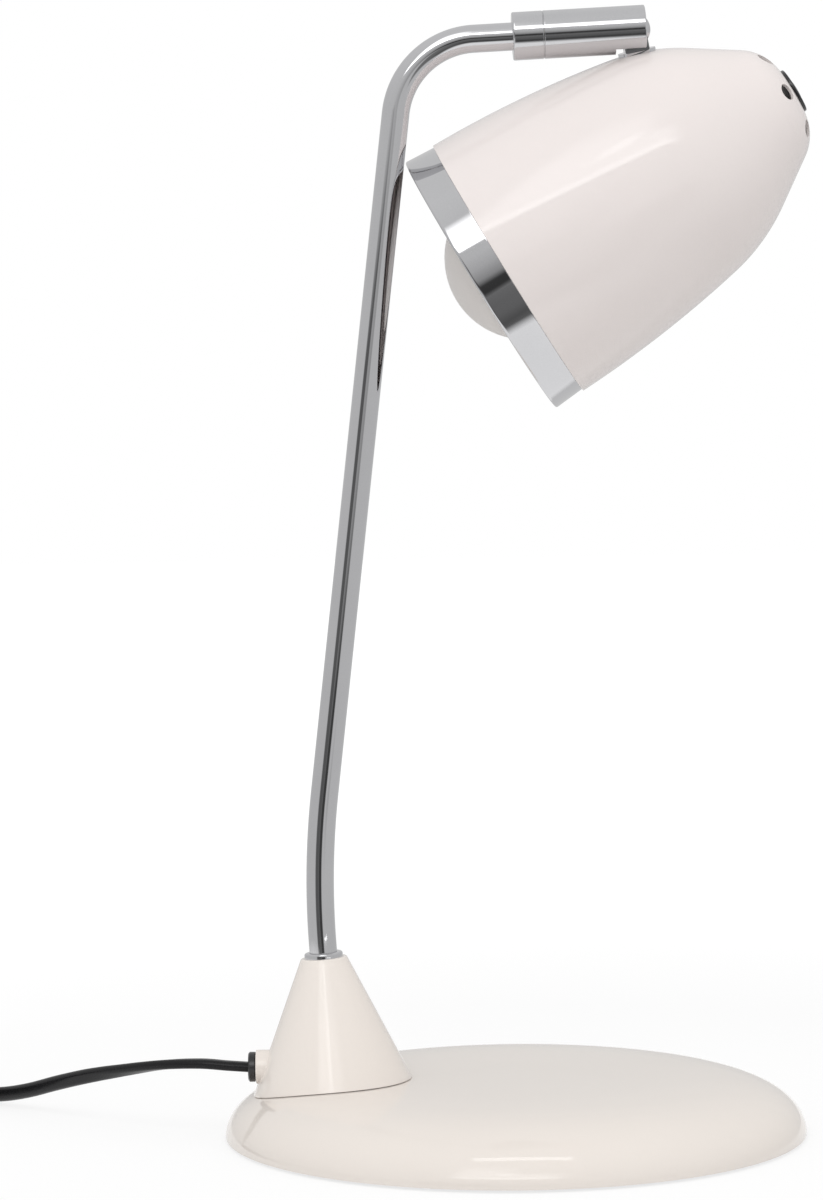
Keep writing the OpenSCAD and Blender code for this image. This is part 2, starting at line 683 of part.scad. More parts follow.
// Switch ring: a dark flange outside the nose with a sleeve that screws on to the holder's nipple
module switch_ring() {
    color(black) on_head() translate([0, 0, nose_s]) rotate_extrude() polygon(concat(
        [[nipple_m10_r + thread_gap, -4.3], [ring_sleeve_r, -4.3], [ring_sleeve_r, 0.05], [ring_r, 0.05]],
        arc([ring_r - 0.8, ring_t - 0.8], 0.8, 0, 90, 5),
        [[button_r + button_gap, ring_t + 0.1], [button_r + button_gap, -nipple_top + 0.1],
         [nipple_m10_r + thread_gap, -nipple_top + 0.1]]));
}

module ring_nut() {
    color(steel) on_head() translate([0, 0, nose_s - shade_t - 2.4])
        hex_nut(16, ring_sleeve_r + thread_gap, 2.2);
}

module holder_nipple() {
    color(brass) on_head() translate([0, 0, holder_back - 5])
        tube(nipple_m10_r, 3.6, nose_s - nipple_top - holder_back + 5);
}

// Push button: domed head in the ring, on a long stem that reaches the switch
module switch_button() {
    color(black) on_head() {
        translate([0, 0, nose_s]) rotate_extrude() polygon(concat([[0, 0.1], [button_r, 0.1]],
            arc([button_r - 0.5, button_top - 0.9], 0.5, 0, 60, 4),
            [[button_r * 0.6, button_top - 0.2], [button_r * 0.3, button_top - 0.05], [0, button_top]]));
        translate([0, 0, holder_split + 5]) cylinder(r = button_stem_r, h = nose_s - holder_split - 4.8);
    }
}

module switch_body() {
    color(opal) on_head() difference() {
        translate([0, 0, holder_split + 0.6]) cylinder(r = 5.5, h = 7.4);
        translate([0, 0, holder_split + 5 - button_travel - 0.8])
            cylinder(r = button_stem_r + thread_gap, h = 20);
    }
}

module holder_cap() {
    color(black) on_head() difference() {
        rotate_extrude() polygon([[0, holder_split + 0.05], [holder_r, holder_split + 0.05],
            [holder_r, holder_split + 3], [holder_r - 3, holder_split + 8.5], [9.5, holder_back - 1.5],
            [8.5, holder_back], [0, holder_back]]);
        rotate_extrude() polygon([[0, holder_split - 1], [holder_r - 2, holder_split - 1],
            [holder_r - 2, holder_split + 3], [holder_r - 5, holder_split + 7.5], [8, holder_back - 5.5],
            [0, holder_back - 5.5]]);
        translate([0, 0, holder_back - 10]) cylinder(r = nipple_m10_r + thread_gap, h = 20);
        translate([0, 0, holder_split + 5.2]) rotate([0, -90, 0]) cylinder(r = 2.3, h = 40);
    }
}

module holder_shell() {
    color(black) on_head() rotate_extrude() polygon([[14.9, holder_s], [holder_r - 1, holder_s],
        [holder_r, holder_s + 1], [holder_r, holder_split], [holder_r - 2, holder_split],
        [holder_r - 2, holder_s + 4], [14.9, holder_s + 2]]);
}

module screw_shell() {
    color(brass) on_head() rotate_extrude() polygon([[14.3, holder_s + 2.5], [14.8, holder_s + 2.5],
        [14.8, block_s], [7, block_s], [7, block_s - 0.5], [14.3, block_s - 0.5]]);
}

module contact_block() {
    color(opal) on_head() translate([0, 0, block_s + 0.02]) difference() {
        cylinder(r = holder_r - 2.2, h = holder_split - block_s + 0.5);
        for (s = [-1, 1]) translate([0, s * 9, -1]) cylinder(r = 1.55, h = 20);
    }
}

module centre_contact() {
    color(brass) on_head() translate([0, -2.5, bulb_end + 0.05]) {
        translate([-3, 0, 0]) cube([6, 5, 0.5]);
        translate([2.5, 0, 0]) cube([0.5, 5, block_s - bulb_end - 0.05]);
    }
}

module terminal_screws() {
    color(steel) on_head() for (s = [-1, 1]) translate([0, s * 9, holder_split - 1.5]) {
        cylinder(r = 1.5, h = 2.1);
        translate([0, 0, 2.05]) cylinder(r = 2.8, h = 1.8);
    }
}

// Lead from the eye down the stem and round to the lampholder, in (station, height) of the shade's plane
function from_stem(p) = pin_at + p.x * [cos(stem_angle), -sin(stem_angle)]
    + p.y * [sin(stem_angle), cos(stem_angle)];
module head_lead() {
    out = from_stem([0, -shank_end - 1.5]);
    entry_s = holder_split + 5.2;
    pts = fine([from_stem(lead_in), from_stem(lead_in + 4.8 * [sin(lead_slant), -cos(lead_slant)]),
        from_stem([-0.3, -8.6]), from_stem([0, -12]), out, [out.x - 1.4, holder_r + 8.3],
        [out.x + 2.4, holder_r + 5.3], [out.x + 9, holder_r + 5.6], [entry_s - 2, holder_r + 4.4],
        [entry_s, holder_r + 1.5], [entry_s, holder_r - 4.5]], 2);
    first = from_stem([sin(lead_slant), -cos(lead_slant)]) - pin_at;
    color(opal) on_head() lead_skin([for (p = pts) [-p.y, 0, p.x]], [-first.y, 0, first.x], [1, 0, 0]);
}

// Bulb
module bulb_glass() {
    function side(g) = concat(arc([bulb_c, 0], bulb_r + g, 180, bulb_blend_a, 22),
        arc([bulb_blend_s, bulb_neck_r + bulb_neck_blend], bulb_neck_blend - g,
            bulb_blend_a + 180, 270, 8));
    outer = [for (p = side(0)) [p.y, p.x]];
    inner = [for (p = side(-glass_t)) [p.y, p.x]];
    color(opal) on_head() rotate_extrude()
        polygon(concat(outer, [[bulb_neck_r, bulb_cap_s], [bulb_neck_r - glass_t, bulb_cap_s]],
            reversed(inner)));
}

module bulb_cap() {
    color(steel) on_head() translate([0, 0, bulb_cap_s + 0.02])
        cylinder(r = bulb_cap_r, h = bulb_cap_len - 0.02);
}

module bulb_contact() {
    color(black) on_head() translate([0, 0, bulb_end - bulb_tip_t]) rotate_extrude() polygon([[0, 0.02],
        [bulb_cap_r - 1, 0.02], [5.5, bulb_tip_t - 1], [4.8, bulb_tip_t], [0, bulb_tip_t]]);
}

// Cord and what is on it
module cord_grip() {
    color(black) translate([exit_x, 0, boss_z]) along_x() difference() {
        rotate_extrude() polygon([[0, 0], [grip_flange_r - 0.5, 0], [grip_flange_r, 0.5],
            [grip_flange_r, grip_flange_t - 0.3], [grip_flange_r - 0.3, grip_flange_t], [4, grip_flange_t],
            [4, 12], [3.5, grip_len], [0, grip_len]]);
        translate([0, 0, -1]) linear_extrude(grip_len + 2) flat_section(0.2);
    }
}

module cord_run() {
    pts = fine(run_pts, 3);
    twists = fine(run_twist, 3);
    color(black) skin([for (i = [0:len(pts) - 1])
        ring(pts[i], heading(pts, i, [-1, 0, 0], coil_way), flat_eight, twists[i])]);
}

module cord_coil() {
    echo(coil_gap = coil_gap, coil_out_r = coil_out_r);
    color(black) skin(coil_sections);
}

module cord_tail() {
    a = coil_pts[len(coil_pts) - 1];
    pts = [for (k = [0, 0.15, 0.3, 0.45, 0.6, 0.75, 0.88, 1])
        [a.x, a.y - tail_len * k, lerp(a.z, plug_h / 2, smooth(k * 1.2 - 0.1))]];
    color(black) skin([for (i = [0:len(pts) - 1])
        ring(pts[i], heading(pts, i, [0, -1, 0], [0, -1, 0]), flat_eight, 1)]);
}

// Flat two-pin plug
module at_plug() {
    a = coil_pts[len(coil_pts) - 1];
    translate([a.x, a.y - tail_len, plug_h / 2]) rotate([0, 0, -90]) children();
}

module plug_body() {
    color(black) at_plug() hull() {
        along_x() cylinder(d = 9, h = 1);
        translate([plug_len * 0.45, 0, 0]) for (s = [-1, 1])
            translate([0, s * (plug_w / 2 - plug_h / 2), 0])
            along_x() cylinder(d = plug_h, h = plug_len * 0.55, $fn = 48);
    }
}

module plug_pins() {
    color(steel) at_plug() for (s = [-1, 1])
        translate([plug_len + 0.1, s * 9.3, 0]) rotate([0, 0, -s * 1.5]) along_x() {
            cylinder(d = 3.8, h = plug_pin_len - 9);
            translate([0, 0, plug_pin_len - 9]) cylinder(d = 4, h = 8);
            translate([0, 0, plug_pin_len - 1]) cylinder(r1 = 2, r2 = 1.3, h = 1);
        }
}

base_cover();
base_weight();
base_pad();
base_bolt();
bolt_washer();
stand_cone();
cone_collar();
arm_tube();
tube_washer();
tube_nut();
swivel_sleeve();
swivel_nipple();
friction_washer();
spring_washer();
nipple_nut();
cord_grip();
arm_lead();
cord_run();
cord_coil();
cord_tail();
plug_body();
plug_pins();
swivel_body();
tilt_screw();
swivel_lead();
head_knuckle();
saddle_washer();
stem_washer();
stem_nut();
shade_shell();
rim_band();
switch_ring();
ring_nut();
holder_nipple();
holder_cap();
switch_body();
holder_shell();
screw_shell();
contact_block();
centre_contact();
terminal_screws();
head_lead();
bulb_glass();
bulb_cap();
bulb_contact();
switch_button();
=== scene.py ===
import math

import bmesh
import bpy
from mathutils import Matrix, Vector


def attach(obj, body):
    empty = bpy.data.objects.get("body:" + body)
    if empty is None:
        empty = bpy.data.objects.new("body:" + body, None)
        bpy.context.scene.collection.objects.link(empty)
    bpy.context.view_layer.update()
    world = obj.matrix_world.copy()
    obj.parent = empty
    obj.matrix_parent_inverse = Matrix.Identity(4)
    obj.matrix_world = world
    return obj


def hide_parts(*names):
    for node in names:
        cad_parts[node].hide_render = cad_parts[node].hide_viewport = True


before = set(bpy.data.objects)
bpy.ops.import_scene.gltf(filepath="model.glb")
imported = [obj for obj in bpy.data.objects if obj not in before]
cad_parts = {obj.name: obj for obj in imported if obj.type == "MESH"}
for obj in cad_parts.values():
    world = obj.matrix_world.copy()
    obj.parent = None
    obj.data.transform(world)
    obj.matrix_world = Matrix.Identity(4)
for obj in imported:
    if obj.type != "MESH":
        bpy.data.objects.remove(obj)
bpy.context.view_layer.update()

bl_info = {
    "name": "Desk lamp looks",
    "version": (1, 0, 0),
    "blender": (4, 5, 0),
    "location": "3D View > Sidebar > Desk lamp",
    "description": "Finished surfaces, cord and studio for the desk lamp",
    "category": "Object",
}

MM = 0.001
# Points of a mesh that are closer than this, in metres, are one.
MERGE = 2e-6

# Sizes in millimetres, in the same words and with the same values as the part's source.
BASE_R, BASE_H, BASE_SQUARE, BASE_CROWN, COVER_T, COVER_LIFT = 105, 20.6, 6.6, 1.92, 1.2, 1
CONE_OUT, CONE_LEAN, CONE_R, CONE_TOP_R, CONE_H = 65.7, 3.8, 27.9, 8.3, 44.5
BOSS_R, BOSS_UP, BOSS_REACH = 6.1, 4.9, 28.1
TUBE_R, TUBE_WALL, ARM_LEAN, ARM_LEN, LOW_R, TOP_R, RISE, RUN_LEN = 5, 1.3, 6.8, 247, 300, 30, 2.5, 14
TUBE_IN, COLLAR_R, COLLAR_T, LOW_STRAIGHT, BUSH_R, EXIT_OUT, THREAD_GAP = 11.5, 6.95, 1.9, 2.2, 4.1, 2.7, 0.05
SLEEVE_LEN, SOCKET, SWIVEL_R, WASHER_T, BODY_LEN, PIN_BACK, NIPPLE_R = 10.9, 8, 8.6, 0.3, 36.6, 4.5, 4
WALL_T, CHAMBER_R, CHAMBER_LEN, LEAD_WAY_R, SLOT_BACK = 4.5, 6.7, 11, 4.4, 6.55
SLOT_HALF, SLOT_TOP, EYE_BEVEL, PIN_HOLE_R, SCREW_SEAT_R, SCREW_SEAT_Y = 5.7, 6.6, 2.5, 2.05, 2.8, 6.9
HEAD_TILT, HEAD_TURN, MOUTH_R, FLANK_R, FLANK_A, SHOULDER_R, SHOULDER_A = 31.3, 12, 52.7, 420, 11.2, 73, 34.3
TAPER_LEN, NOSE_R, STEM_A, STANDOFF, SHADE_T, BAND_W = 19.3, 18.25, 19.7, 8.4, 1, 11.8
STEM_HOLE_R, NOSE_HOLE_R, BAND_STEP, SPIGOT_LEN, BAND_T, LIP = 4.2, 6.9, 0.95, 6, 0.8, 1.9
VENT_COUNT, VENT_D, VENT_POLAR, VENT_FIRST = 6, 6.4, 31, 20
RING_R, RING_T, RING_SLEEVE_R, SWITCH_NIPPLE_R = 8.5, 1.25, 6.7, 5
BUTTON_R, BUTTON_STEM_R, BUTTON_TOP = 5.4, 2, 2
BULB_R, BULB_LEN, BULB_OUT, BULB_NECK_R, BULB_BLEND, GLASS_T = 30, 106, 10.6, 14, 30, 1
CAP_AND_TIP, HOLDER_DEPTH, HOLDER_LEN, SWITCH_DEPTH = 28.6, 28, 32, 5
CORD_W, CORD_T, PLUG_H = 5.6, 3.5, 13.8


def unit(a):
    """Direction at an angle from +X in the plane of the arm."""
    return Vector((math.cos(math.radians(a)), 0, math.sin(math.radians(a))))


def turn(a, axis="Y"):
    return Matrix.Rotation(math.radians(a), 4, axis)


def dome_z(r):
    """Height of the base's dome at a radius."""
    return COVER_LIFT + (BASE_H - COVER_LIFT) * (1 - (r / BASE_R) ** BASE_SQUARE) ** (1 / BASE_CROWN)


def dome_outline(extra, steps):
    """The dome from its foot to its top, as (radius, height), at a distance outside it."""
    angles = [math.pi / 2 * i / steps for i in range(steps)]
    return [((BASE_R + extra) * math.cos(t) ** (2 / BASE_SQUARE),
             COVER_LIFT + (BASE_H - COVER_LIFT + extra) * math.sin(t) ** (2 / BASE_CROWN))
            for t in angles] + [(0, BASE_H + extra)]


# The arm's centre line and the places that hang on it.
FOOT = Vector((-CONE_OUT, 0, dome_z(CONE_OUT)))
UP_A, ARM_A = 90 + CONE_LEAN, 90 - ARM_LEAN
LOW_START = CONE_H + COLLAR_T + LOW_STRAIGHT
LOW_1 = FOOT + unit(UP_A) * LOW_START
LOW_C = LOW_1 + unit(UP_A - 90) * LOW_R
LOW_2 = LOW_C - unit(ARM_A - 90) * LOW_R
TOP_1 = LOW_2 + unit(ARM_A) * ARM_LEN
TOP_C = TOP_1 + unit(ARM_A - 90) * TOP_R
TOP_2 = TOP_C - unit(RISE - 90) * TOP_R
SLEEVE = TOP_2 + unit(RISE) * RUN_LEN
BODY_0 = SLEEVE_LEN + WASHER_T + 2 * THREAD_GAP
BODY_1 = BODY_0 + BODY_LEN
PIN = SLEEVE + unit(RISE) * (BODY_1 - PIN_BACK)


def across(a):
    """Direction in (station, radius) of a surface whose slope is a degrees."""
    return Vector((math.sin(math.radians(a)), math.cos(math.radians(a))))


FLANK_C = Vector((0, MOUTH_R - FLANK_R))
SHOULDER_C = FLANK_C + (FLANK_R - SHOULDER_R) * across(FLANK_A)
TAPER = SHOULDER_C + SHOULDER_R * across(SHOULDER_A)
TAPER_WAY = Vector((across(SHOULDER_A).y, -across(SHOULDER_A).x))
NOSE_C = TAPER + TAPER_LEN * TAPER_WAY - NOSE_R * across(SHOULDER_A)
NOSE_S = NOSE_C.x + NOSE_R
STEM = SHOULDER_C + SHOULDER_R * across(STEM_A)
PIN_AT = STEM + STANDOFF * across(STEM_A)
MOUTH = PIN - unit(HEAD_TILT) * PIN_AT.x - unit(HEAD_TILT + 90) * PIN_AT.y

ON_CONE = Matrix.Translation(FOOT) @ turn(-CONE_LEAN)
ON_RUN = Matrix.Translation(SLEEVE) @ turn(90 - RISE)
# The swivel and the head are turned about the run at rest.
TURNED = (Matrix.Translation(SLEEVE) @ turn(-RISE) @ turn(HEAD_TURN, "X") @ turn(RISE)
          @ Matrix.Translation(-SLEEVE))
ON_SWIVEL = TURNED @ ON_RUN
ON_HEAD = TURNED @ Matrix.Translation(MOUTH) @ turn(90 - HEAD_TILT)
ON_STEM = TURNED @ Matrix.Translation(PIN) @ turn(STEM_A - HEAD_TILT)
ON_BOSS = Matrix.Translation((FOOT.x - BOSS_REACH, 0, FOOT.z + BOSS_UP)) @ turn(90)


# Mesh tools

def finish_mesh(mesh, sharp=32):
    """Smooth shading with the edges sharper than the given angle kept crisp."""
    mesh.polygons.foreach_set("use_smooth", [True] * len(mesh.polygons))
    mesh.set_sharp_from_angle(angle=math.radians(sharp))
    mesh.update()
    return mesh


def new_object(name, mesh):
    made = bpy.data.objects.new(name, mesh)
    bpy.context.scene.collection.objects.link(made)
    return made


def soften(points, steps=5, guard=0.3):
    """A closed outline of (radius, station) or (radius, station, rounding) with its corners rounded.

    A guard point on each side of a round keeps the flat beside it evenly shaded."""
    out = []
    for i, p in enumerate(points):
        if len(p) < 3 or p[2] <= 0:
            out.append((p[0], p[1]))
            continue
        here = Vector(p[:2])
        a = Vector(points[i - 1][:2]) - here
        b = Vector(points[(i + 1) % len(points)][:2]) - here
        half = a.angle(b) / 2
        t = min(p[2] / math.tan(half), 0.48 * a.length, 0.48 * b.length)
        far = 3 * (t + guard)
        guards = [[here + leg.normalized() * (t + guard)] if leg.length > far else [] for leg in (a, b)]
        a, b = a.normalized() * t, b.normalized() * t
        bend = [here + a * (1 - k / steps) ** 2 + b * (k / steps) ** 2 for k in range(steps + 1)]
        out += [(q.x, q.y) for q in guards[0] + bend + guards[1]]
    return out


def arc(centre, r, a0, a1, n):
    """Points (station, radius) on an arc, with slopes from a0 to a1 degrees."""
    return [centre + r * across(a0 + (a1 - a0) * i / n) for i in range(n + 1)]


def turned(name, outline, place, steps=192):
    """A solid turned from a closed outline of (radius, station) about the place's Z axis."""
    work = bmesh.new()
    rings = []
    for r, s in outline:
        if r < 1e-6:
            rings.append([work.verts.new(place @ Vector((0, 0, s)))])
        else:
            rings.append([work.verts.new(place @ Vector((r * math.cos(2 * math.pi * k / steps),
                                                         r * math.sin(2 * math.pi * k / steps), s)))
                          for k in range(steps)])
    for a, b in zip(rings, rings[1:] + rings[:1]):
        for k in range(steps):
            j = (k + 1) % steps
            corners = [a[k % len(a)], a[j % len(a)], b[j % len(b)], b[k % len(b)]]
            corners = [v for i, v in enumerate(corners) if v not in corners[:i]]
            if len(corners) > 2:
                work.faces.new(corners)
    bmesh.ops.recalc_face_normals(work, faces=work.faces)
    work.transform(Matrix.Scale(MM, 4))
    mesh = bpy.data.meshes.new(name)
    put_back(work, mesh)
    return new_object(name, finish_mesh(mesh))


def rod(name, r, s0, s1, place, steps=64):
    return turned(name, [(0, s0), (r, s0), (r, s1), (0, s1)], place, steps)


def skin(name, rings):
    """A closed tube through rings of points in millimetres, with the same count in each."""
    n = len(rings[0])
    verts = [p * MM for ring in rings for p in ring]
    faces = [[i * n + k, i * n + (k + 1) % n, (i + 1) * n + (k + 1) % n, (i + 1) * n + k]
             for i in range(len(rings) - 1) for k in range(n)]
    faces += [list(range(n))[::-1], [(len(rings) - 1) * n + k for k in range(n)]]
    mesh = bpy.data.meshes.new(name)
    mesh.from_pydata(verts, [], faces)
    work = bmesh.new()
    work.from_mesh(mesh)
    bmesh.ops.recalc_face_normals(work, faces=work.faces)
    put_back(work, mesh)
    return new_object(name, finish_mesh(mesh, 50))


def chain(name, points):
    """A chain of edges through points in millimetres."""
    mesh = bpy.data.meshes.new(name)
    mesh.from_pydata([Vector(p) * MM for p in points], [(i, i + 1) for i in range(len(points) - 1)], [])
    return new_object(name, mesh)


def settle(made, sharp=32):
    """Turns an object with modifiers into a plain mesh, and removes the modifiers."""
    bpy.context.view_layer.update()
    seen = made.evaluated_get(bpy.context.evaluated_depsgraph_get())
    mesh = bpy.data.meshes.new_from_object(seen)
    made.modifiers.clear()
    old, made.data = made.data, mesh
    bpy.data.meshes.remove(old)
    finish_mesh(mesh, sharp)
    return made


def carve(made, *steps):
    """Joins other solids to an object or cuts them away: each step is (operation, solid)."""
    for operation, other in steps:
        change = made.modifiers.new("Carve", "BOOLEAN")
        change.operation = operation
        change.solver = "EXACT"
        change.object = other
    settle(made)
    for _, other in steps:
        bpy.data.objects.remove(other)
    return made


def merged(mesh):
    """The mesh in a form to work on, with its doubled points made one."""
    work = bmesh.new()
    work.from_mesh(mesh)
    bmesh.ops.remove_doubles(work, verts=work.verts, dist=MERGE)
    return work


def put_back(work, mesh):
    work.to_mesh(mesh)
    work.free()


def round_edges(made, width, sharp=32):
    """Breaks the crisp edges of a solid with a narrow bevel."""
    put_back(merged(made.data), made.data)
    bevel = made.modifiers.new("Edges", "BEVEL")
    bevel.width = width * MM
    bevel.segments = 2
    bevel.limit_method = "ANGLE"
    bevel.angle_limit = math.radians(sharp)
    return settle(made, sharp)


def smooth_copy(name, node, sharp=28):
    """A merged and smoothly shaded copy of a node of the frame."""
    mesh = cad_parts[node].data.copy()
    mesh.materials.clear()
    work = merged(mesh)
    bmesh.ops.dissolve_limit(work, angle_limit=math.radians(0.5), verts=work.verts, edges=work.edges)
    put_back(work, mesh)
    return new_object(name, finish_mesh(mesh, sharp))


def place_piece(made, material, body, node, *more):
    """Gives a finished piece its material and its body, and hides the nodes that it stands for."""
    made.data.materials.clear()
    made.data.materials.append(bpy.data.materials[material])
    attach(made, body)
    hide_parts(node, *more)


def dress(material, *nodes):
    """Gives nodes of the frame a material."""
    for node in nodes:
        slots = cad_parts[node].data.materials
        slots.clear()
        slots.append(bpy.data.materials[material])


# Node trees

def fill(tree, node, inputs):
    """Sets the given inputs of a node, each to a value or to a link from a socket."""
    for key, value in inputs.items():
        if isinstance(value, bpy.types.NodeSocket):
            tree.links.new(value, node.inputs[key])
        else:
            node.inputs[key].default_value = value


def add_node(tree, kind, inputs, **settings):
    made = tree.nodes.new(kind)
    for name, value in settings.items():
        setattr(made, name, value)
    fill(tree, made, inputs)
    return made


def maths(tree, operation, a, b=None):
    """A math node between sockets or numbers."""
    inputs = {0: a} if b is None else {0: a, 1: b}
    return add_node(tree, "ShaderNodeMath", inputs, operation=operation).outputs[0]


def stretch(tree, source, low, high, to_low, to_high):
    """A value moved from one range to another, and held at its ends."""
    return add_node(tree, "ShaderNodeMapRange", {
        "Value": source, "From Min": low, "From Max": high, "To Min": to_low, "To Max": to_high}).outputs[0]


def new_group(kind, name, inputs, outputs):
    """A node group with only its sockets: inputs are (label, type, value), outputs (label, type)."""
    tree = bpy.data.node_groups.new(name, kind)
    for label, sort, value in inputs:
        made = tree.interface.new_socket(label, in_out="INPUT", socket_type="NodeSocket" + sort)
        if value is not None:
            made.default_value = value
    for label, sort in outputs:
        tree.interface.new_socket(label, in_out="OUTPUT", socket_type="NodeSocket" + sort)
    return tree, tree.nodes.new("NodeGroupInput").outputs, tree.nodes.new("NodeGroupOutput").inputs


def shape_group(name, inputs):
    """A geometry group that takes a shape and a material, and gives a shape."""
    return new_group("GeometryNodeTree", name, (
        ("Geometry", "Geometry", None), *inputs, ("Material", "Material", None)), (("Geometry", "Geometry"),))


def end_group(tree, source, given, result):
    """Makes instances real and gives them the material."""
    real = add_node(tree, "GeometryNodeRealizeInstances", {0: source})
    paint = add_node(tree, "GeometryNodeSetMaterial", {
        "Geometry": real.outputs[0], "Material": given["Material"]})
    tree.links.new(paint.outputs[0], result[0])
    return tree


def tube_group():
    """A round tube along a chain of edges."""
    tree, given, result = shape_group("Tube along a path", (
        ("Radius", "Float", 0.005), ("Sides", "Int", 48), ("Closed ends", "Bool", True)))
    path = add_node(tree, "GeometryNodeMeshToCurve", {0: given["Geometry"]})
    ring = add_node(tree, "GeometryNodeCurvePrimitiveCircle", {
        "Resolution": given["Sides"], "Radius": given["Radius"]})
    tube = add_node(tree, "GeometryNodeCurveToMesh", {
        "Curve": path.outputs[0], "Profile Curve": ring.outputs[0], "Fill Caps": given["Closed ends"]})
    return end_group(tree, tube.outputs[0], given, result)


def vent_group():
    """Round vents cut through a shell, evenly round its axis."""
    tree, given, result = shape_group("Ring of vents", (
        ("Count", "Int", 6), ("Diameter", "Float", 0.0064), ("Circle radius", "Float", 0.0165),
        ("Station", "Float", 0.128), ("Lean", "Float", 0.5), ("First angle", "Float", 0.5236),
        ("Place", "Vector", (0, 0, 0)), ("Turn", "Vector", (0, 0, 0))))
    index = tree.nodes.new("GeometryNodeInputIndex").outputs[0]
    step = maths(tree, "DIVIDE", 2 * math.pi, given["Count"])
    angle = maths(tree, "ADD", maths(tree, "MULTIPLY", index, step), given["First angle"])
    sides = [maths(tree, "MULTIPLY", maths(tree, wave, angle), given["Circle radius"])
             for wave in ("COSINE", "SINE")]
    where = add_node(tree, "ShaderNodeCombineXYZ", {0: sides[0], 1: sides[1], 2: given["Station"]})
    points = add_node(tree, "GeometryNodePoints", {"Count": given["Count"], "Position": where.outputs[0]})
    lean = add_node(tree, "ShaderNodeCombineXYZ", {1: given["Lean"], 2: angle})
    spin = add_node(tree, "FunctionNodeEulerToRotation", {0: lean.outputs[0]})
    punch = add_node(tree, "GeometryNodeMeshCylinder", {
        "Vertices": 48, "Depth": 0.008, "Radius": maths(tree, "MULTIPLY", given["Diameter"], 0.5)})
    copies = add_node(tree, "GeometryNodeInstanceOnPoints", {
        "Points": points.outputs[0], "Instance": punch.outputs[0], "Rotation": spin.outputs[0]})
    real = add_node(tree, "GeometryNodeRealizeInstances", {0: copies.outputs[0]})
    move = add_node(tree, "GeometryNodeTransform", {
        "Geometry": real.outputs[0], "Translation": given["Place"], "Rotation": given["Turn"]})
    cut = add_node(tree, "GeometryNodeMeshBoolean", {
        "Mesh 1": given["Geometry"], "Mesh 2": move.outputs[0]}, operation="DIFFERENCE", solver="EXACT")
    return end_group(tree, cut.outputs[0], given, result)


def grow(made, tree, values):
    """Puts a tree on an object with the given named inputs, and turns the result into a plain mesh."""
    change = made.modifiers.new(tree.name, "NODES")
    change.node_group = tree
    for item in tree.interface.items_tree:
        if item.in_out == "INPUT" and item.name in values:
            change[item.identifier] = values[item.name]
    return settle(made)


# Shader groups and materials

def grain_group():
    """Cloudy variation and fine grain in object space, for colour, roughness and bump."""
    tree, given, result = new_group("ShaderNodeTree", "Surface grain", (
        ("Cloud scale", "Float", 20), ("Grain scale", "Float", 600), ("Cloud share", "Float", 0.5)),
        (("Mask", "Float"), ("Height", "Float")))
    where = tree.nodes.new("ShaderNodeTexCoord").outputs["Object"]
    cloud, grain = [
        add_node(tree, "ShaderNodeTexNoise", {
            "Detail": detail, "Vector": where, "Scale": given[label]}).outputs["Fac"]
        for label, detail in (("Cloud scale", 3), ("Grain scale", 2))]
    mix = add_node(tree, "ShaderNodeMix", {0: given["Cloud share"], 2: grain, 3: cloud})
    tree.links.new(mix.outputs[0], result["Mask"])
    tree.links.new(grain, result["Height"])


def scuff_group():
    """Sparse fine scuffs in object space."""
    tree, given, result = new_group("ShaderNodeTree", "Fine scuffs", (
        ("Scale", "Float", 60), ("Stretch", "Float", 12), ("Amount", "Float", 0.3)), (("Scuffs", "Float"),))
    where = tree.nodes.new("ShaderNodeTexCoord").outputs["Object"]
    pull = add_node(tree, "ShaderNodeCombineXYZ", {0: 1, 1: given["Stretch"], 2: 1})
    squeeze = add_node(tree, "ShaderNodeVectorMath", {0: where, 1: pull.outputs[0]}, operation="MULTIPLY")
    noise = add_node(tree, "ShaderNodeTexNoise", {
        "Detail": 6, "Vector": squeeze.outputs[0], "Scale": given["Scale"]})
    # Only the highest crests of the noise show as scuffs.
    scuffs = stretch(tree, noise.outputs["Fac"], 0.58, 0.74, 0, given["Amount"])
    tree.links.new(scuffs, result["Scuffs"])


def make_material(name, light, dark, rough, metallic=0, coat=0, cloud=20, grain=600, share=0.5,
                  bump=0.05, depth=0.00002, scuffs=0.15, scuff_stretch=1, scuff_scale=60, ior=1.5):
    """A finish with clouded colour, varied roughness with fine scuffs, and a fine bump."""
    made = bpy.data.materials.new(name)
    made.use_nodes = True
    tree = made.node_tree
    grains = add_node(tree, "ShaderNodeGroup", {
        "Cloud scale": cloud, "Grain scale": grain, "Cloud share": share},
        node_tree=bpy.data.node_groups["Surface grain"])
    marks = add_node(tree, "ShaderNodeGroup", {
        "Scale": scuff_scale, "Stretch": scuff_stretch, "Amount": scuffs},
        node_tree=bpy.data.node_groups["Fine scuffs"])
    ramp = add_node(tree, "ShaderNodeValToRGB", {0: grains.outputs["Mask"]})
    for stop, position, colour in zip(ramp.color_ramp.elements, (0.3, 0.7), (dark, light)):
        stop.position = position
        stop.color = (*colour, 1)
    spread = stretch(tree, grains.outputs["Mask"], 0, 1, *rough)
    total = add_node(tree, "ShaderNodeMath", {
        0: spread, 1: marks.outputs[0]}, operation="ADD", use_clamp=True)
    relief = add_node(tree, "ShaderNodeBump", {
        "Strength": bump, "Distance": depth, "Height": grains.outputs["Height"]})
    fill(tree, tree.nodes["Principled BSDF"], {
        "Base Color": ramp.outputs[0], "Roughness": total.outputs[0], "Normal": relief.outputs[0],
        "Metallic": metallic, "IOR": ior, "Coat Weight": coat, "Coat Roughness": 0.04})


def scaled(colour, k):
    return tuple(min(c * k, 1) for c in colour)


# Settings

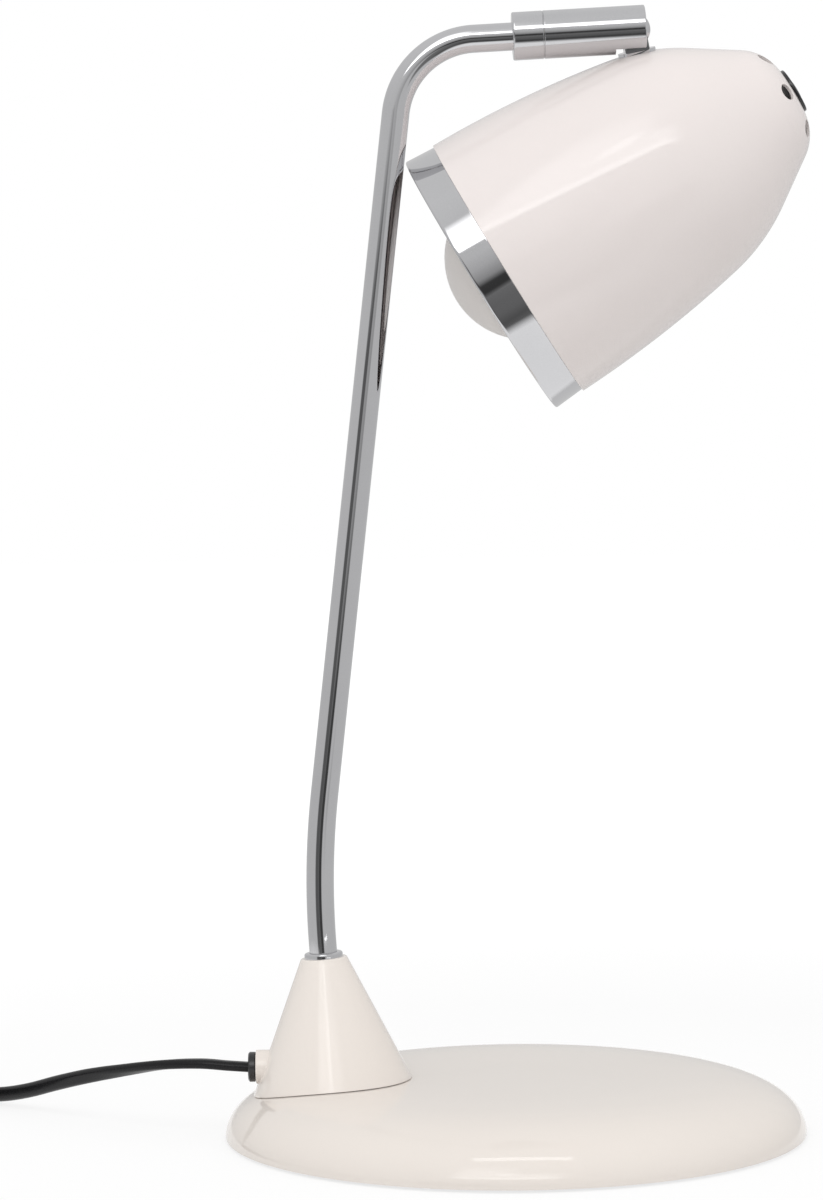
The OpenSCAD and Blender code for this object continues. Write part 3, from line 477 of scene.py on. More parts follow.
class LampFinish(bpy.types.PropertyGroup):
    paint: bpy.props.FloatVectorProperty(
        name="Foot paint", description="Colour of the painted base and cone",
        subtype="COLOR", size=3, min=0, max=1, default=(0.80, 0.742, 0.69))
    shade: bpy.props.FloatVectorProperty(
        name="Shade paint", description="Colour of the painted shade",
        subtype="COLOR", size=3, min=0, max=1, default=(0.80, 0.74, 0.72))
    chrome: bpy.props.FloatVectorProperty(
        name="Bright metal", description="Colour of the plated arm, swivel and band",
        subtype="COLOR", size=3, min=0, max=1, default=(0.66, 0.66, 0.675))
    black: bpy.props.FloatVectorProperty(
        name="Dark plastic", description="Colour of the cord, bush, plug and switch",
        subtype="COLOR", size=3, min=0, max=1, default=(0.012, 0.012, 0.013))
    bulb: bpy.props.FloatVectorProperty(
        name="Bulb", description="Colour of the frosted bulb",
        subtype="COLOR", size=3, min=0, max=1, default=(0.76, 0.725, 0.70))


class LampCord(bpy.types.PropertyGroup):
    width: bpy.props.FloatProperty(
        name="Width", description="Width of the flat cord", subtype="DISTANCE", unit="LENGTH",
        min=0.004, max=0.008, default=CORD_W * MM)
    thickness: bpy.props.FloatProperty(
        name="Thickness", description="Thickness of the flat cord", subtype="DISTANCE", unit="LENGTH",
        min=0.002, max=0.006, default=CORD_T * MM)


class LampStage(bpy.types.PropertyGroup):
    lens: bpy.props.FloatProperty(
        name="Lens", description="Focal length on a 36 mm sensor", subtype="DISTANCE_CAMERA",
        min=20, max=300, default=91.21)
    key: bpy.props.FloatProperty(
        name="Key light", description="Power of the large soft light", subtype="POWER", unit="POWER",
        min=0, max=100, default=15)
    ambient: bpy.props.FloatProperty(
        name="Ambient", description="Strength of the light from all round", subtype="FACTOR",
        min=0, max=2, default=0.83)
    box: bpy.props.FloatProperty(
        name="Soft box", description="Strength of the soft box in reflections", subtype="FACTOR",
        min=0, max=10, default=4.4)


# Pieces

class PieceOperator:
    """What every operator shares: its own make() builds the piece."""
    bl_options = {"REGISTER", "UNDO"}

    def execute(self, context):
        self.make(context)
        return {"FINISHED"}


class LAMP_OT_finishes(PieceOperator, bpy.types.Operator):
    """Makes the shared node groups and every material"""
    bl_idname = "lamp.finishes"
    bl_label = "Finishes"

    def make(self, context):
        look = context.scene.lamp_finish
        grain_group()
        scuff_group()
        paint, chrome, black, bulb = (tuple(c) for c in (look.paint, look.chrome, look.black, look.bulb))
        # The cone's enamel is the foot paint made 3% lighter: painted light that brightens the cone.
        for name, colour in (("White enamel", paint), ("Cone enamel", scaled(paint, 1.03)),
                             ("Shade enamel", tuple(look.shade))):
            make_material(name, colour, scaled(colour, 0.975), (0.06, 0.09), cloud=14,
                          grain=900, share=0.7, bump=0.1, scuffs=0.03, scuff_scale=25)
        make_material("Bright plating", chrome, scaled(chrome, 0.94), (0.03, 0.06), metallic=1, cloud=40,
                      grain=1500, share=0.6, bump=0.02, depth=0.00001, scuffs=0.03, scuff_scale=90)
        make_material("Satin plating", chrome, scaled(chrome, 0.93), (0.07, 0.10), metallic=1, cloud=60,
                      grain=2200, share=0.4, bump=0.03, depth=0.00001, scuffs=0.03, scuff_stretch=8,
                      scuff_scale=120)
        make_material("Gloss black", scaled(black, 1.5), black, (0.16, 0.24), coat=0.2, cloud=80, grain=1500,
                      bump=0.08, scuffs=0.12)
        make_material("Cord sheath", scaled(black, 1.1), scaled(black, 0.7), (0.22, 0.32), cloud=50,
                      grain=2600, share=0.3, bump=0.25, depth=0.00004, scuffs=0.10, scuff_scale=140, ior=1.3)
        make_material("Plug moulding", scaled(black, 2.0), black, (0.38, 0.5), cloud=60,
                      grain=3000, share=0.3, bump=0.3, depth=0.00004, scuffs=0.10)
        make_material("Frosted bulb", bulb, scaled(bulb, 0.97), (0.30, 0.38), cloud=30, grain=1200,
                      scuffs=0.03)
        make_material("Zinc plate", (0.55, 0.55, 0.54), (0.42, 0.43, 0.45), (0.28, 0.42), metallic=1,
                      cloud=120, grain=2400, bump=0.2, depth=0.00003, scuffs=0.2, scuff_stretch=5)
        make_material("Bare brass", (0.78, 0.60, 0.30), (0.62, 0.45, 0.20), (0.22, 0.36), metallic=1,
                      cloud=90, grain=2400, bump=0.15, depth=0.00003, scuffs=0.2)
        make_material("Cast iron", (0.09, 0.09, 0.095), (0.045, 0.045, 0.05), (0.6, 0.8), metallic=0.6,
                      cloud=70, grain=700, share=0.4, bump=0.8, depth=0.0004, scuffs=0.1)
        make_material("Foam pad", (0.03, 0.03, 0.032), (0.015, 0.015, 0.016), (0.8, 0.95), cloud=100,
                      grain=1600, share=0.3, bump=0.9, depth=0.0003, scuffs=0)
        make_material("Pale insulation", (0.80, 0.79, 0.74), (0.70, 0.69, 0.63), (0.4, 0.55), cloud=60,
                      grain=1500, bump=0.1, depth=0.00003, scuffs=0.08)
        make_material("Bulb cap metal", (0.75, 0.75, 0.76), (0.6, 0.6, 0.62), (0.22, 0.34), metallic=1,
                      cloud=90, grain=2000, bump=0.1, depth=0.00003)


class LAMP_OT_base(PieceOperator, bpy.types.Operator):
    """Makes the domed base cover and finishes the weight and the pad under it"""
    bl_idname = "lamp.base"
    bl_label = "Base"

    def make(self, context):
        outer, inner = dome_outline(0, 90), dome_outline(-COVER_T, 90)
        made = turned("pressed_base", outer + inner[::-1], Matrix.Identity(4), 256)
        place_piece(made, "White enamel", "stand", "base_cover")
        dress("Cast iron", "base_weight")
        dress("Foam pad", "base_pad")
        dress("Zinc plate", "base_bolt", "bolt_washer")


class LAMP_OT_cone(PieceOperator, bpy.types.Operator):
    """Makes the cone foot with its boss, the collar on it and the cord's bush"""
    bl_idname = "lamp.cone"
    bl_label = "Cone foot"

    def make(self, context):
        slope = (CONE_R - CONE_TOP_R) / CONE_H
        # Rings along the flank keep its reflections straight.
        flank = [(CONE_R - slope * h, h) for h in range(-12, 42, 3)]
        made = turned("cone_foot", soften([(0, -12)] + flank + [(CONE_TOP_R, CONE_H, 0.7), (0, CONE_H)]),
                      ON_CONE, 160)
        boss = turned("boss", soften([(0, 0), (BOSS_R, 0, 0.5), (BOSS_R, 20), (0, 20)]), ON_BOSS, 96)
        # The cone's foot is cut off just above the dome that it stands on.
        dome = dome_outline(0.3, 60) + [(0, -20), (BASE_R, -20)]
        carve(made, ("UNION", boss), ("DIFFERENCE", rod("hole", BUSH_R, -2, 8, ON_BOSS)),
              ("DIFFERENCE", turned("seat", dome, Matrix.Identity(4), 160)),
              ("DIFFERENCE", rod("bore", TUBE_R + THREAD_GAP, 20, 60, ON_CONE)))
        round_edges(made, 0.25)
        # The cone gets the lighter copy of the foot paint, which is painted light on it.
        place_piece(made, "Cone enamel", "stand", "stand_cone")
        inner, top = TUBE_R + THREAD_GAP, CONE_H + COLLAR_T
        ring = turned("arm_collar", soften([
            (inner, CONE_H), (COLLAR_R, CONE_H), (COLLAR_R, top, 1.3), (inner, top, 0.2)]), ON_CONE, 96)
        place_piece(ring, "Bright plating", "stand", "cone_collar")
        place_piece(smooth_copy("cord_bush", "cord_grip"), "Gloss black", "stand", "cord_grip")
        dress("Zinc plate", "tube_washer", "tube_nut")


class LAMP_OT_arm(PieceOperator, bpy.types.Operator):
    """Makes the bent arm tube and finishes the lead in it"""
    bl_idname = "lamp.arm"
    bl_label = "Arm"

    def make(self, context):
        points = [FOOT + unit(UP_A) * (CONE_H - TUBE_IN)]
        points += [LOW_C - unit(UP_A - 90 + (ARM_A - UP_A) * i / 12) * LOW_R for i in range(13)]
        points += [LOW_2 + unit(ARM_A) * ARM_LEN * i / 12 for i in range(1, 12)]
        points += [TOP_C - unit(ARM_A - 90 + (RISE - ARM_A) * i / 48) * TOP_R for i in range(49)]
        points += [SLEEVE, SLEEVE + unit(RISE) * (SOCKET - 0.1)]
        made = chain("arm", points)
        grow(made, tube_group(), {"Radius": TUBE_R * MM, "Sides": 96, "Closed ends": False})
        wall = made.modifiers.new("Wall", "SOLIDIFY")
        wall.thickness = TUBE_WALL * MM
        wall.offset = -1
        settle(made)
        place_piece(made, "Bright plating", "stand", "arm_tube")
        dress("Cord sheath", "arm_lead")


class LAMP_OT_swivel(PieceOperator, bpy.types.Operator):
    """Makes the sleeve, the swivel body with its slot, and the eye that tilts in it"""
    bl_idname = "lamp.swivel"
    bl_label = "Swivel"

    def make(self, context):
        nipple_way, inner = NIPPLE_R + THREAD_GAP, TUBE_R + THREAD_GAP
        sleeve = turned("arm_sleeve", soften([
            (inner, 0), (SWIVEL_R, 0, 0.6), (SWIVEL_R, SLEEVE_LEN, 0.15), (nipple_way, SLEEVE_LEN),
            (nipple_way, SOCKET), (inner, SOCKET)]), ON_RUN, 128)
        place_piece(sleeve, "Satin plating", "stand", "swivel_sleeve")
        wall, pin = BODY_0 + WALL_T, BODY_1 - PIN_BACK
        slot, chamber = pin - SLOT_BACK, wall + CHAMBER_LEN
        made = turned("swivel_cylinder", soften([
            (nipple_way, BODY_0), (SWIVEL_R, BODY_0, 0.15), (SWIVEL_R, BODY_1, 0.45), (0, BODY_1), (0, slot),
            (LEAD_WAY_R, slot), (LEAD_WAY_R, chamber), (CHAMBER_R, chamber), (CHAMBER_R, wall),
            (nipple_way, wall)]), ON_SWIVEL, 160)
        # In the run's frame +X points down and +Z runs along the body.
        outline = [(SWIVEL_R + 1, -SLOT_HALF), (SWIVEL_R + 1, SLOT_HALF), (EYE_BEVEL - SLOT_TOP, SLOT_HALF),
                   (-SLOT_TOP, SLOT_HALF - EYE_BEVEL), (-SLOT_TOP, EYE_BEVEL - SLOT_HALF),
                   (EYE_BEVEL - SLOT_TOP, -SLOT_HALF)]
        ends = [[ON_SWIVEL @ Vector((x, y, s)) for x, y in outline] for s in (slot, BODY_1 + 1)]
        side = ON_SWIVEL @ Matrix.Translation((0, 0, pin)) @ turn(-90, "X")
        carve(made, ("DIFFERENCE", skin("slot", ends)), ("DIFFERENCE", rod("hole", PIN_HOLE_R, -7, 9, side)),
              ("DIFFERENCE", rod("seat", SCREW_SEAT_R, SCREW_SEAT_Y, 12, side)))
        round_edges(made, 0.2)
        place_piece(made, "Satin plating", "swivel", "swivel_body")
        for name, node in (("head_eye", "head_knuckle"), ("saddle", "saddle_washer")):
            place_piece(smooth_copy(name, node), "Bright plating", "head", node)
        dress("Bare brass", "swivel_nipple")
        dress("Satin plating", "friction_washer")
        dress("Zinc plate", "spring_washer", "nipple_nut", "tilt_screw", "stem_washer", "stem_nut")
        dress("Pale insulation", "swivel_lead")


def shade_side(g, s0, n=(40, 40, 40)):
    """Outline of the shade at a distance g outside its surface, as (radius, station)."""
    first = math.degrees(math.asin(s0 / (FLANK_R + g)))
    points = (arc(FLANK_C, FLANK_R + g, first, FLANK_A, n[0])
              + arc(SHOULDER_C, SHOULDER_R + g, FLANK_A, SHOULDER_A, n[1])[1:]
              + arc(NOSE_C, NOSE_R + g, SHOULDER_A, 90, n[2]))
    return [(p.y, p.x) for p in points]


def flank_at(s, g):
    """Radius of the shade's flank at a station, a distance g outside its surface."""
    return FLANK_C.y + math.sqrt((FLANK_R + g) ** 2 - s * s)


class LAMP_OT_shade(PieceOperator, bpy.types.Operator):
    """Makes the spun shade with its vents, and the bright band round its mouth"""
    bl_idname = "lamp.shade"
    bl_label = "Shade"

    def make(self, context):
        start = BAND_W + THREAD_GAP
        outline = (shade_side(0, start) + [(NOSE_HOLE_R, NOSE_S), (NOSE_HOLE_R, NOSE_S - SHADE_T)]
                   + shade_side(-SHADE_T, start)[::-1])
        made = turned("shade", outline, ON_HEAD, 288)
        carve(made, ("DIFFERENCE", rod("stem_hole", STEM_HOLE_R, -STANDOFF - 6, -STANDOFF + 3, ON_STEM)))
        polar = math.radians(VENT_POLAR)
        at = NOSE_C + (NOSE_R - 1) * Vector((math.cos(polar), math.sin(polar)))
        grow(made, vent_group(), {
            "Count": VENT_COUNT, "Diameter": VENT_D * MM, "Circle radius": at.y * MM, "Station": at.x * MM,
            "Lean": polar, "First angle": math.radians(VENT_FIRST), "Place": tuple(ON_HEAD.translation * MM),
            "Turn": tuple(ON_HEAD.to_euler()), "Material": bpy.data.materials["Shade enamel"]})
        place_piece(made, "Shade enamel", "head", "shade_shell")
        # The band is a step smaller than the shade where they meet, and its spigot goes up inside it.
        inside, end = -SHADE_T - 0.06, BAND_W + SPIGOT_LEN
        at_band, at_end = flank_at(BAND_W, inside), flank_at(end, inside)
        band = turned("shade_band", soften([
            (MOUTH_R - LIP, 0, 0.35), (MOUTH_R, 0, 0.75), (MOUTH_R - BAND_STEP, BAND_W, 0.1),
            (at_band, BAND_W), (at_end, end), (at_end - BAND_T, end), (at_band - BAND_T, BAND_W - 0.5),
            (MOUTH_R - BAND_T, 1.1, 0.3), (MOUTH_R - LIP, 0.8, 0.35)]), ON_HEAD, 288)
        place_piece(band, "Bright plating", "head", "rim_band")


class LAMP_OT_switch(PieceOperator, bpy.types.Operator):
    """Makes the dark ring and the push button on the nose"""
    bl_idname = "lamp.switch"
    bl_label = "Switch"

    def make(self, context):
        nose = ON_HEAD @ Matrix.Translation((0, 0, NOSE_S))
        bore, seat = SWITCH_NIPPLE_R + THREAD_GAP, 0.05
        ring = turned("nose_ring", soften([
            (bore, -4.3), (RING_SLEEVE_R, -4.3), (RING_SLEEVE_R, seat), (RING_R, seat, 0.1),
            (RING_R, RING_T, 0.8), (5.75, 1.35, 0.25), (5.75, -1.4), (bore, -1.4)]), nose, 96)
        place_piece(ring, "Gloss black", "head", "switch_ring")
        stem = BULB_LEN - BULB_OUT - HOLDER_DEPTH + HOLDER_LEN + SWITCH_DEPTH - NOSE_S
        button = turned("nose_button", soften([
            (0, stem), (BUTTON_STEM_R, stem, 0.3), (BUTTON_STEM_R, 0.1), (BUTTON_R, 0.1, 0.1),
            (BUTTON_R, 1.5, 0.5), (3.2, 1.85, 1), (0, BUTTON_TOP)]), nose, 96)
        place_piece(button, "Gloss black", "button", "switch_button")
        dress("Zinc plate", "ring_nut")
        dress("Pale insulation", "switch_body")


class LAMP_OT_bulb(PieceOperator, bpy.types.Operator):
    """Makes the frosted bulb and finishes the lampholder round its cap"""
    bl_idname = "lamp.bulb"
    bl_label = "Bulb and holder"

    def make(self, context):
        reach = BULB_NECK_R + BULB_BLEND
        centre, cap = BULB_R - BULB_OUT, BULB_LEN - BULB_OUT - CAP_AND_TIP
        meet = math.asin(reach / (BULB_R + BULB_BLEND))
        far = centre + (BULB_R + BULB_BLEND) * math.cos(meet)

        def side(g):
            """Outline of the ball and the blend to its neck, a distance g outside the glass."""
            r, hollow = BULB_R + g, BULB_BLEND - g
            ball = [math.pi + (meet - math.pi) * i / 72 for i in range(1, 73)]
            blend = [meet + (math.pi / 2 - meet) * i / 24 for i in range(1, 25)]
            return ([(0, centre - BULB_R - g)]
                    + [(r * math.sin(t), centre + r * math.cos(t)) for t in ball]
                    + [(reach - hollow * math.sin(t), far - hollow * math.cos(t)) for t in blend])
        made = turned("bulb", side(0) + [(BULB_NECK_R, cap), (BULB_NECK_R - GLASS_T, cap)]
                      + side(-GLASS_T)[::-1], ON_HEAD, 160)
        place_piece(made, "Frosted bulb", "head", "bulb_glass")
        dress("Bulb cap metal", "bulb_cap")
        dress("Gloss black", "bulb_contact")
        dress("Plug moulding", "holder_cap", "holder_shell")
        dress("Bare brass", "holder_nipple", "screw_shell", "centre_contact")
        dress("Pale insulation", "contact_block", "head_lead")
        dress("Zinc plate", "terminal_screws")


# Cord: the same route as in the part's source

LIE_Z = CORD_W / 2 + 0.05
EXIT = Vector((FOOT.x - BOSS_REACH - EXIT_OUT, 0, FOOT.z + BOSS_UP))
COIL_C, COIL_IN_R, COIL_STEP, COIL_RISE, COIL_START = Vector((-250, 60, LIE_Z)), 23.3, 5, CORD_W + 0.5, 49
COIL_TURNS = 7 + (180 - COIL_START) / 360
CLIMB_TURNS, TAIL_LEN = 0.26, 26


def ease(t):
    """A smooth step from 0 to 1."""
    t = min(max(t, 0), 1)
    return t * t * (3 - 2 * t)


def coil_point(t):
    """Point of the coil after t turns: in along the floor, then up, and out again on top."""
    past = t - COIL_TURNS / 2
    r = COIL_IN_R + COIL_STEP * math.sqrt(past ** 2 + 0.0004)
    a = math.radians(COIL_START + 360 * t)
    return COIL_C + Vector((r * math.cos(a), r * math.sin(a), COIL_RISE * ease(past / CLIMB_TURNS + 0.5)))


def catmull(v, n):
    """Points and values between the given ones, n to a stretch, on a smooth curve."""
    out = []
    for i in range(len(v) - 1):
        p0, p1, p2, p3 = v[max(i - 1, 0)], v[i], v[i + 1], v[min(i + 2, len(v) - 1)]
        for k in range(n):
            t = k / n
            out.append(0.5 * ((2 * p1) + (p2 - p0) * t + (2 * p0 - 5 * p1 + 4 * p2 - p3) * t * t
                              + (3 * p1 - p0 - 3 * p2 + p3) * t * t * t))
    return out + [v[-1]]


def cord_route():
    """Centre line and twist of the whole cord, from the bush to the plug."""
    way = Vector((-math.sin(math.radians(COIL_START)), math.cos(math.radians(COIL_START)), 0))
    run = [EXIT] + [Vector(p) for p in (
        (-104, 0, 25.6), (-114, 1, 26.3), (-128, 6, 25.2), (-144, 17, 21.5), (-158, 29, 17.5),
        (-171, 42, 12.8), (-183, 54.5, 8), (-194, 66, 4.6), (-204, 75, 3.1))]
    run += [coil_point(0) - 10 * way, coil_point(0)]
    twist = [0, 0, 0, 0.1, 0.4, 0.75, 0.95, 1, 1, 1, 1, 1]
    points, twists = catmull(run, 5), catmull(twist, 5)
    steps = round(40 * COIL_TURNS)
    points += [coil_point(COIL_TURNS * i / steps) for i in range(1, steps + 1)]
    last = points[-1]
    for i in range(1, 15):
        k = i / 14
        z = last.z + (PLUG_H / 2 - last.z) * ease(k * 1.2 - 0.1)
        points.append(Vector((last.x, last.y - TAIL_LEN * k, z)))
    return points, twists + [1] * (len(points) - len(twists))


class LAMP_OT_cord(PieceOperator, bpy.types.Operator):
    """Makes the flat cord with its coil, and the plug on its end"""
    bl_idname = "lamp.cord"
    bl_label = "Cord and plug"

    def make(self, context):
        sizes = context.scene.lamp_cord
        w, t = sizes.width / MM, sizes.thickness / MM
        points, twists = cord_route()
        bend = [math.pi * i / 8 for i in range(9)]
        section = [(t / 2 * math.cos(b), (w - t) / 2 + t / 2 * math.sin(b)) for b in bend]
        section += [(-x, -y) for x, y in section]
        rings = []
        for i, p in enumerate(points):
            if i in (0, len(points) - 1):
                d = Vector((-1, 0, 0)) if i == 0 else Vector((0, -1, 0))
            else:
                d = ((points[i + 1] - p).normalized() + (p - points[i - 1]).normalized()).normalized()
            side = Vector((0, 0, 1)).cross(d).normalized()
            over = d.cross(side)
            a = math.pi / 2 * twists[i]
            broad = side * math.cos(a) + over * math.sin(a)
            thin = over * math.cos(a) - side * math.sin(a)
            rings.append([p + thin * x + broad * y for x, y in section])
        cord = skin("flat_cord", rings)
        place_piece(cord, "Cord sheath", "stand", "cord_run", "cord_coil", "cord_tail")
        plug = self.plug(points[-1])
        place_piece(plug, "Plug moulding", "stand", "plug_body")
        dress("Bare brass", "plug_pins")

    def plug(self, at):
        """A flat plug lofted from rounded sections, with grip ribs."""
        rings = []
        for s, half_w, half_h, square in (
                (0, 3.9, 3.3, 2.2), (0.4, 4.3, 3.9, 2.2), (2, 4.7, 4.3, 2.2), (4, 4.6, 4.2, 2.2),
                (4.6, 5.4, 4.9, 2.2), (7, 6.3, 5.4, 2.2), (7.6, 6.1, 5.2, 2.2), (9.5, 8.2, 5.6, 2.3),
                (10.2, 8.0, 5.5, 2.3), (13, 11.8, 6.2, 2.5), (16, 15.6, 6.7, 2.7), (18.5, 17.1, 6.9, 3),
                (21, 17.5, 6.9, 3.2), (29, 17.5, 6.9, 3.2), (34.6, 17.5, 6.9, 3.2), (35.6, 17.2, 6.6, 3.2),
                (36, 16.6, 6.1, 3.2)):
            ring = []
            for k in range(48):
                a = 2 * math.pi * k / 48
                c, q = math.cos(a), math.sin(a)
                ring.append(at + Vector((half_w * math.copysign(abs(c) ** (2 / square), c), -s,
                                         half_h * math.copysign(abs(q) ** (2 / square), q))))
            rings.append(ring)
        return skin("plug", rings)


# Camera in metres, fitted to the photograph's outlines
CAMERA_AT = Vector((-0.037557, -1.100022, 0.213938))
CAMERA_RIGHT = Vector((0.99989573, -0.00258608, -0.01420727))
CAMERA_UP = Vector((0.01425263, 0.01845672, 0.99972807))


class LAMP_OT_stage(PieceOperator, bpy.types.Operator):
    """Makes the camera, the floor, the surroundings and the lights"""
    bl_idname = "lamp.stage"
    bl_label = "Stage"

    def make(self, context):
        scene = context.scene
        stage = scene.lamp_stage
        scene.view_settings.view_transform = "Standard"
        self.camera(scene, stage)
        self.floor()
        self.world(scene, stage)
        self.soft_light("Key", (-0.4, -1.45, 1.8), (0, 0, 0.2), 1.4, 1.1, stage.key)
        self.soft_light("Fill", (1.0, -0.6, 0.6), (0, 0, 0.2), 0.8, 0.8, stage.key * 0.05)
        # A low strip that only shows as the glint along the front of the base.
        glint = self.soft_light("Glint", (0, -0.1094, 0.0596), (0, -0.1, 0.01), 0.054, 0.0078, 0.0036)
        glint.visible_glossy = True
        glint.visible_diffuse = glint.visible_camera = False

    def camera(self, scene, stage):
        made = bpy.data.objects.new("Camera", bpy.data.cameras.new("Camera"))
        scene.collection.objects.link(made)
        made.data.lens = stage.lens
        made.data.sensor_width = 36
        made.data.clip_start = 0.01
        way = Matrix((CAMERA_RIGHT, CAMERA_UP, CAMERA_RIGHT.cross(CAMERA_UP))).transposed().to_4x4()
        made.matrix_world = Matrix.Translation(CAMERA_AT) @ way
        scene.camera = made

    def floor(self):
        """A pale floor, white to the camera but for the shadow, that ends like a table in reflections."""
        mesh = bpy.data.meshes.new("floor")
        corners = [(-40, -40, 0), (40, -40, 0), (40, 40, 0), (-40, 40, 0)]
        mesh.from_pydata(corners, [], [(0, 1, 2, 3)])
        made = new_object("floor", mesh)
        paint = bpy.data.materials.new("Pale floor")
        paint.use_nodes = True
        tree = paint.node_tree
        shader = tree.nodes["Principled BSDF"]
        fill(tree, shader, {
            "Base Color": (0.74, 0.74, 0.74, 1), "Roughness": 0.9, "Specular IOR Level": 0.1})
        glow = add_node(tree, "ShaderNodeEmission", {"Strength": 1.08})
        clear = tree.nodes.new("ShaderNodeBsdfTransparent")
        path = tree.nodes.new("ShaderNodeLightPath").outputs
        where = tree.nodes.new("ShaderNodeTexCoord").outputs["Object"]
        reach = add_node(tree, "ShaderNodeVectorMath", {0: where}, operation="LENGTH").outputs["Value"]
        # The glow is weaker near the lamp, so that its shadow shows there.
        seen = maths(tree, "MAXIMUM", path["Is Camera Ray"], path["Is Glossy Ray"])
        share = maths(tree, "MULTIPLY", seen, stretch(tree, reach, 0.3, 1.1, 0.72, 1))
        lit = add_node(tree, "ShaderNodeMixShader", {0: share, 1: shader.outputs[0], 2: glow.outputs[0]})
        # Reflections look past the floor beyond the edge of a table.
        past = maths(tree, "MULTIPLY", stretch(tree, reach, 0.38, 0.46, 0, 1), path["Is Glossy Ray"])
        ends = add_node(tree, "ShaderNodeMixShader", {0: past, 1: lit.outputs[0], 2: clear.outputs[0]})
        fill(tree, tree.nodes["Material Output"], {"Surface": ends.outputs[0]})
        mesh.materials.append(paint)

    def world(self, scene, stage):
        """White to the camera, even light on the object, and a grey studio for reflections.

        The studio has three dark patches where the camera and what is round it stand, and over them
        one soft box in three parts, which shows in first reflections only."""
        world = bpy.data.worlds.new("Studio")
        scene.world = world
        world.use_nodes = True
        tree = world.node_tree
        plain = tree.nodes["Background"]
        fill(tree, plain, {"Color": (1, 1, 1, 1), "Strength": stage.ambient})
        white = add_node(tree, "ShaderNodeBackground", {"Color": (1, 1, 1, 1)})
        where = tree.nodes.new("ShaderNodeTexCoord").outputs["Generated"]
        x, y, z = add_node(tree, "ShaderNodeSeparateXYZ", {0: where}).outputs
        height = stretch(tree, maths(tree, "ARCSINE", z), -math.pi / 2, math.pi / 2, 0, 1)
        around = maths(tree, "ARCTAN2", x, maths(tree, "MULTIPLY", y, -1))
        side = stretch(tree, around, -math.pi, math.pi, 0, 1)
        room = self.ramp(tree, height, 90, (
            (-90, 0.86), (-50, 0.88), (-30, 0.85), (-10, 0.80), (0, 0.78), (15, 0.82), (60, 0.94),
            (90, 0.92)))
        # The dark patches: seen by the rim, by the swivel and by the arm
        low = self.patch(tree, side, height,
                         ((-14, 0), (-2, 0.9), (3, 1), (8, 1), (16, 0.93), (33, 0.9), (38, 0.5), (42, 0)),
                         ((-46, 0), (-41, 0.15), (-36, 0.85), (-31, 0.92), (-25, 0.82), (-18, 0.78),
                          (-11, 0.70), (-7, 0)))
        ahead = self.patch(tree, side, height, ((-26, 0), (-16, 0.6), (-8, 0.95), (8, 1), (15, 0)),
                           ((-16, 0), (-12, 0.70), (-8, 0.93), (-3, 0.93), (1, 0.45), (9, 0.16), (18, 0)))
        left = self.patch(tree, side, height, ((-42, 0), (-35, 0.8), (-14, 0.8), (-5, 0)),
                          ((-22, 0), (-16, 1), (7, 1), (12, 0)))
        dark = maths(tree, "MAXIMUM", maths(tree, "MAXIMUM", low, ahead), left)
        # The soft box: its sharp lower edge, its wide upper part, and the narrow part that marks the cone
        edge = self.patch(tree, side, height, ((-30, 0), (-25, 1), (10, 1), (21, 0)),
                          ((24, 0), (25.5, 1), (27.5, 1), (29.5, 0.55), (36, 0.48), (42, 0)))
        wide = self.patch(tree, side, height, ((-31, 0), (-24, 1), (-10, 1), (2, 0)),
                          ((30, 0), (36, 0.5), (46, 0.42), (60, 0)))
        tall = self.patch(tree, side, height, ((-13, 0), (-8, 0.9), (-4, 0.9), (0, 0)),
                          ((32, 0), (36.5, 1), (40, 1), (45, 0)))
        path = tree.nodes.new("ShaderNodeLightPath").outputs
        box = maths(tree, "MAXIMUM", maths(tree, "MAXIMUM", edge, wide), tall)
        box = maths(tree, "MULTIPLY", box, maths(tree, "LESS_THAN", path["Glossy Depth"], 1.5))
        level = maths(tree, "MULTIPLY", room, maths(tree, "SUBTRACT", 1, dark))
        level = maths(tree, "ADD", level, maths(tree, "MULTIPLY", box, stage.box))
        shine = add_node(tree, "ShaderNodeBackground", {"Strength": level})
        first = add_node(tree, "ShaderNodeMixShader", {
            0: path["Is Glossy Ray"], 1: plain.outputs[0], 2: shine.outputs[0]})
        last = add_node(tree, "ShaderNodeMixShader", {
            0: path["Is Camera Ray"], 1: first.outputs[0], 2: white.outputs[0]})
        fill(tree, tree.nodes["World Output"], {"Surface": last.outputs[0]})

    def patch(self, tree, side, height, around, upward):
        """A part of the surroundings, strong where both of its ramps are."""
        ramps = self.ramp(tree, side, 180, around), self.ramp(tree, height, 90, upward)
        return maths(tree, "MULTIPLY", *ramps)

    def ramp(self, tree, source, reach, stops):
        """Grey levels at angles between -reach and reach degrees, for a source that runs from 0 to 1."""
        made = add_node(tree, "ShaderNodeValToRGB", {0: source})
        bar = made.color_ramp
        while len(bar.elements) < len(stops):
            bar.elements.new(0.5)
        for element, (angle, value) in zip(bar.elements, stops):
            element.position = (angle + reach) / (2 * reach)
            element.color = (value, value, value, 1)
        return made.outputs[0]

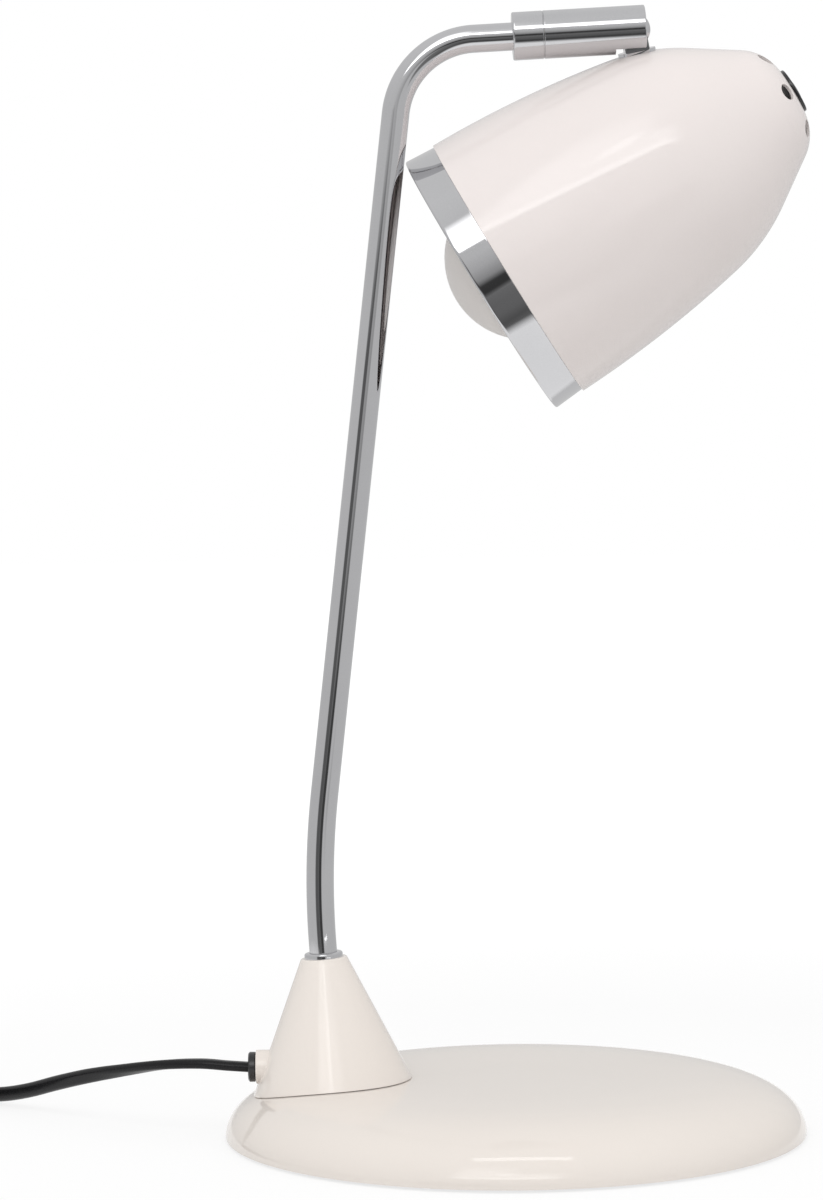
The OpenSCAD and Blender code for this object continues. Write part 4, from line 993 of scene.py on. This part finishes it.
    def soft_light(self, name, where, aim, width, height, power):
        """A rectangular light that reflections don't show: they show the surroundings' soft box instead."""
        lamp = bpy.data.lights.new(name, "AREA")
        lamp.shape = "RECTANGLE"
        lamp.size = width
        lamp.size_y = height
        lamp.energy = power
        made = bpy.data.objects.new(name, lamp)
        bpy.context.scene.collection.objects.link(made)
        made.location = where
        made.rotation_euler = (Vector(aim) - Vector(where)).to_track_quat("-Z", "Y").to_euler()
        made.visible_glossy = False
        return made


class LAMP_PT_panel(bpy.types.Panel):
    """Lists the lamp's settings and pieces"""
    bl_idname = "LAMP_PT_panel"
    bl_label = "Desk lamp"
    bl_space_type = "VIEW_3D"
    bl_region_type = "UI"
    bl_category = "Desk lamp"

    def draw(self, context):
        for name in GROUPS:
            group = getattr(context.scene, name)
            box = self.layout.box()
            for key in group.bl_rna.properties.keys():
                if key not in ("rna_type", "name"):
                    box.prop(group, key)
        for operator in OPERATORS:
            self.layout.operator(operator.bl_idname)


GROUPS = {"lamp_finish": LampFinish, "lamp_cord": LampCord, "lamp_stage": LampStage}
OPERATORS = (LAMP_OT_finishes, LAMP_OT_stage, LAMP_OT_cord, LAMP_OT_base, LAMP_OT_cone, LAMP_OT_arm,
             LAMP_OT_swivel, LAMP_OT_shade, LAMP_OT_switch, LAMP_OT_bulb)
CLASSES = (*GROUPS.values(), *OPERATORS, LAMP_PT_panel)


def register():
    for cls in CLASSES:
        bpy.utils.register_class(cls)
    for name, group in GROUPS.items():
        setattr(bpy.types.Scene, name, bpy.props.PointerProperty(type=group))


def unregister():
    for name in GROUPS:
        delattr(bpy.types.Scene, name)
    for cls in reversed(CLASSES):
        bpy.utils.unregister_class(cls)


def main():
    register()
    bpy.ops.lamp.finishes()
    bpy.ops.lamp.stage()
    bpy.ops.lamp.cord()
    bpy.ops.lamp.base()
    bpy.ops.lamp.cone()
    bpy.ops.lamp.arm()
    bpy.ops.lamp.swivel()
    bpy.ops.lamp.shade()
    bpy.ops.lamp.switch()
    bpy.ops.lamp.bulb()


if __name__ == "__main__":
    main()
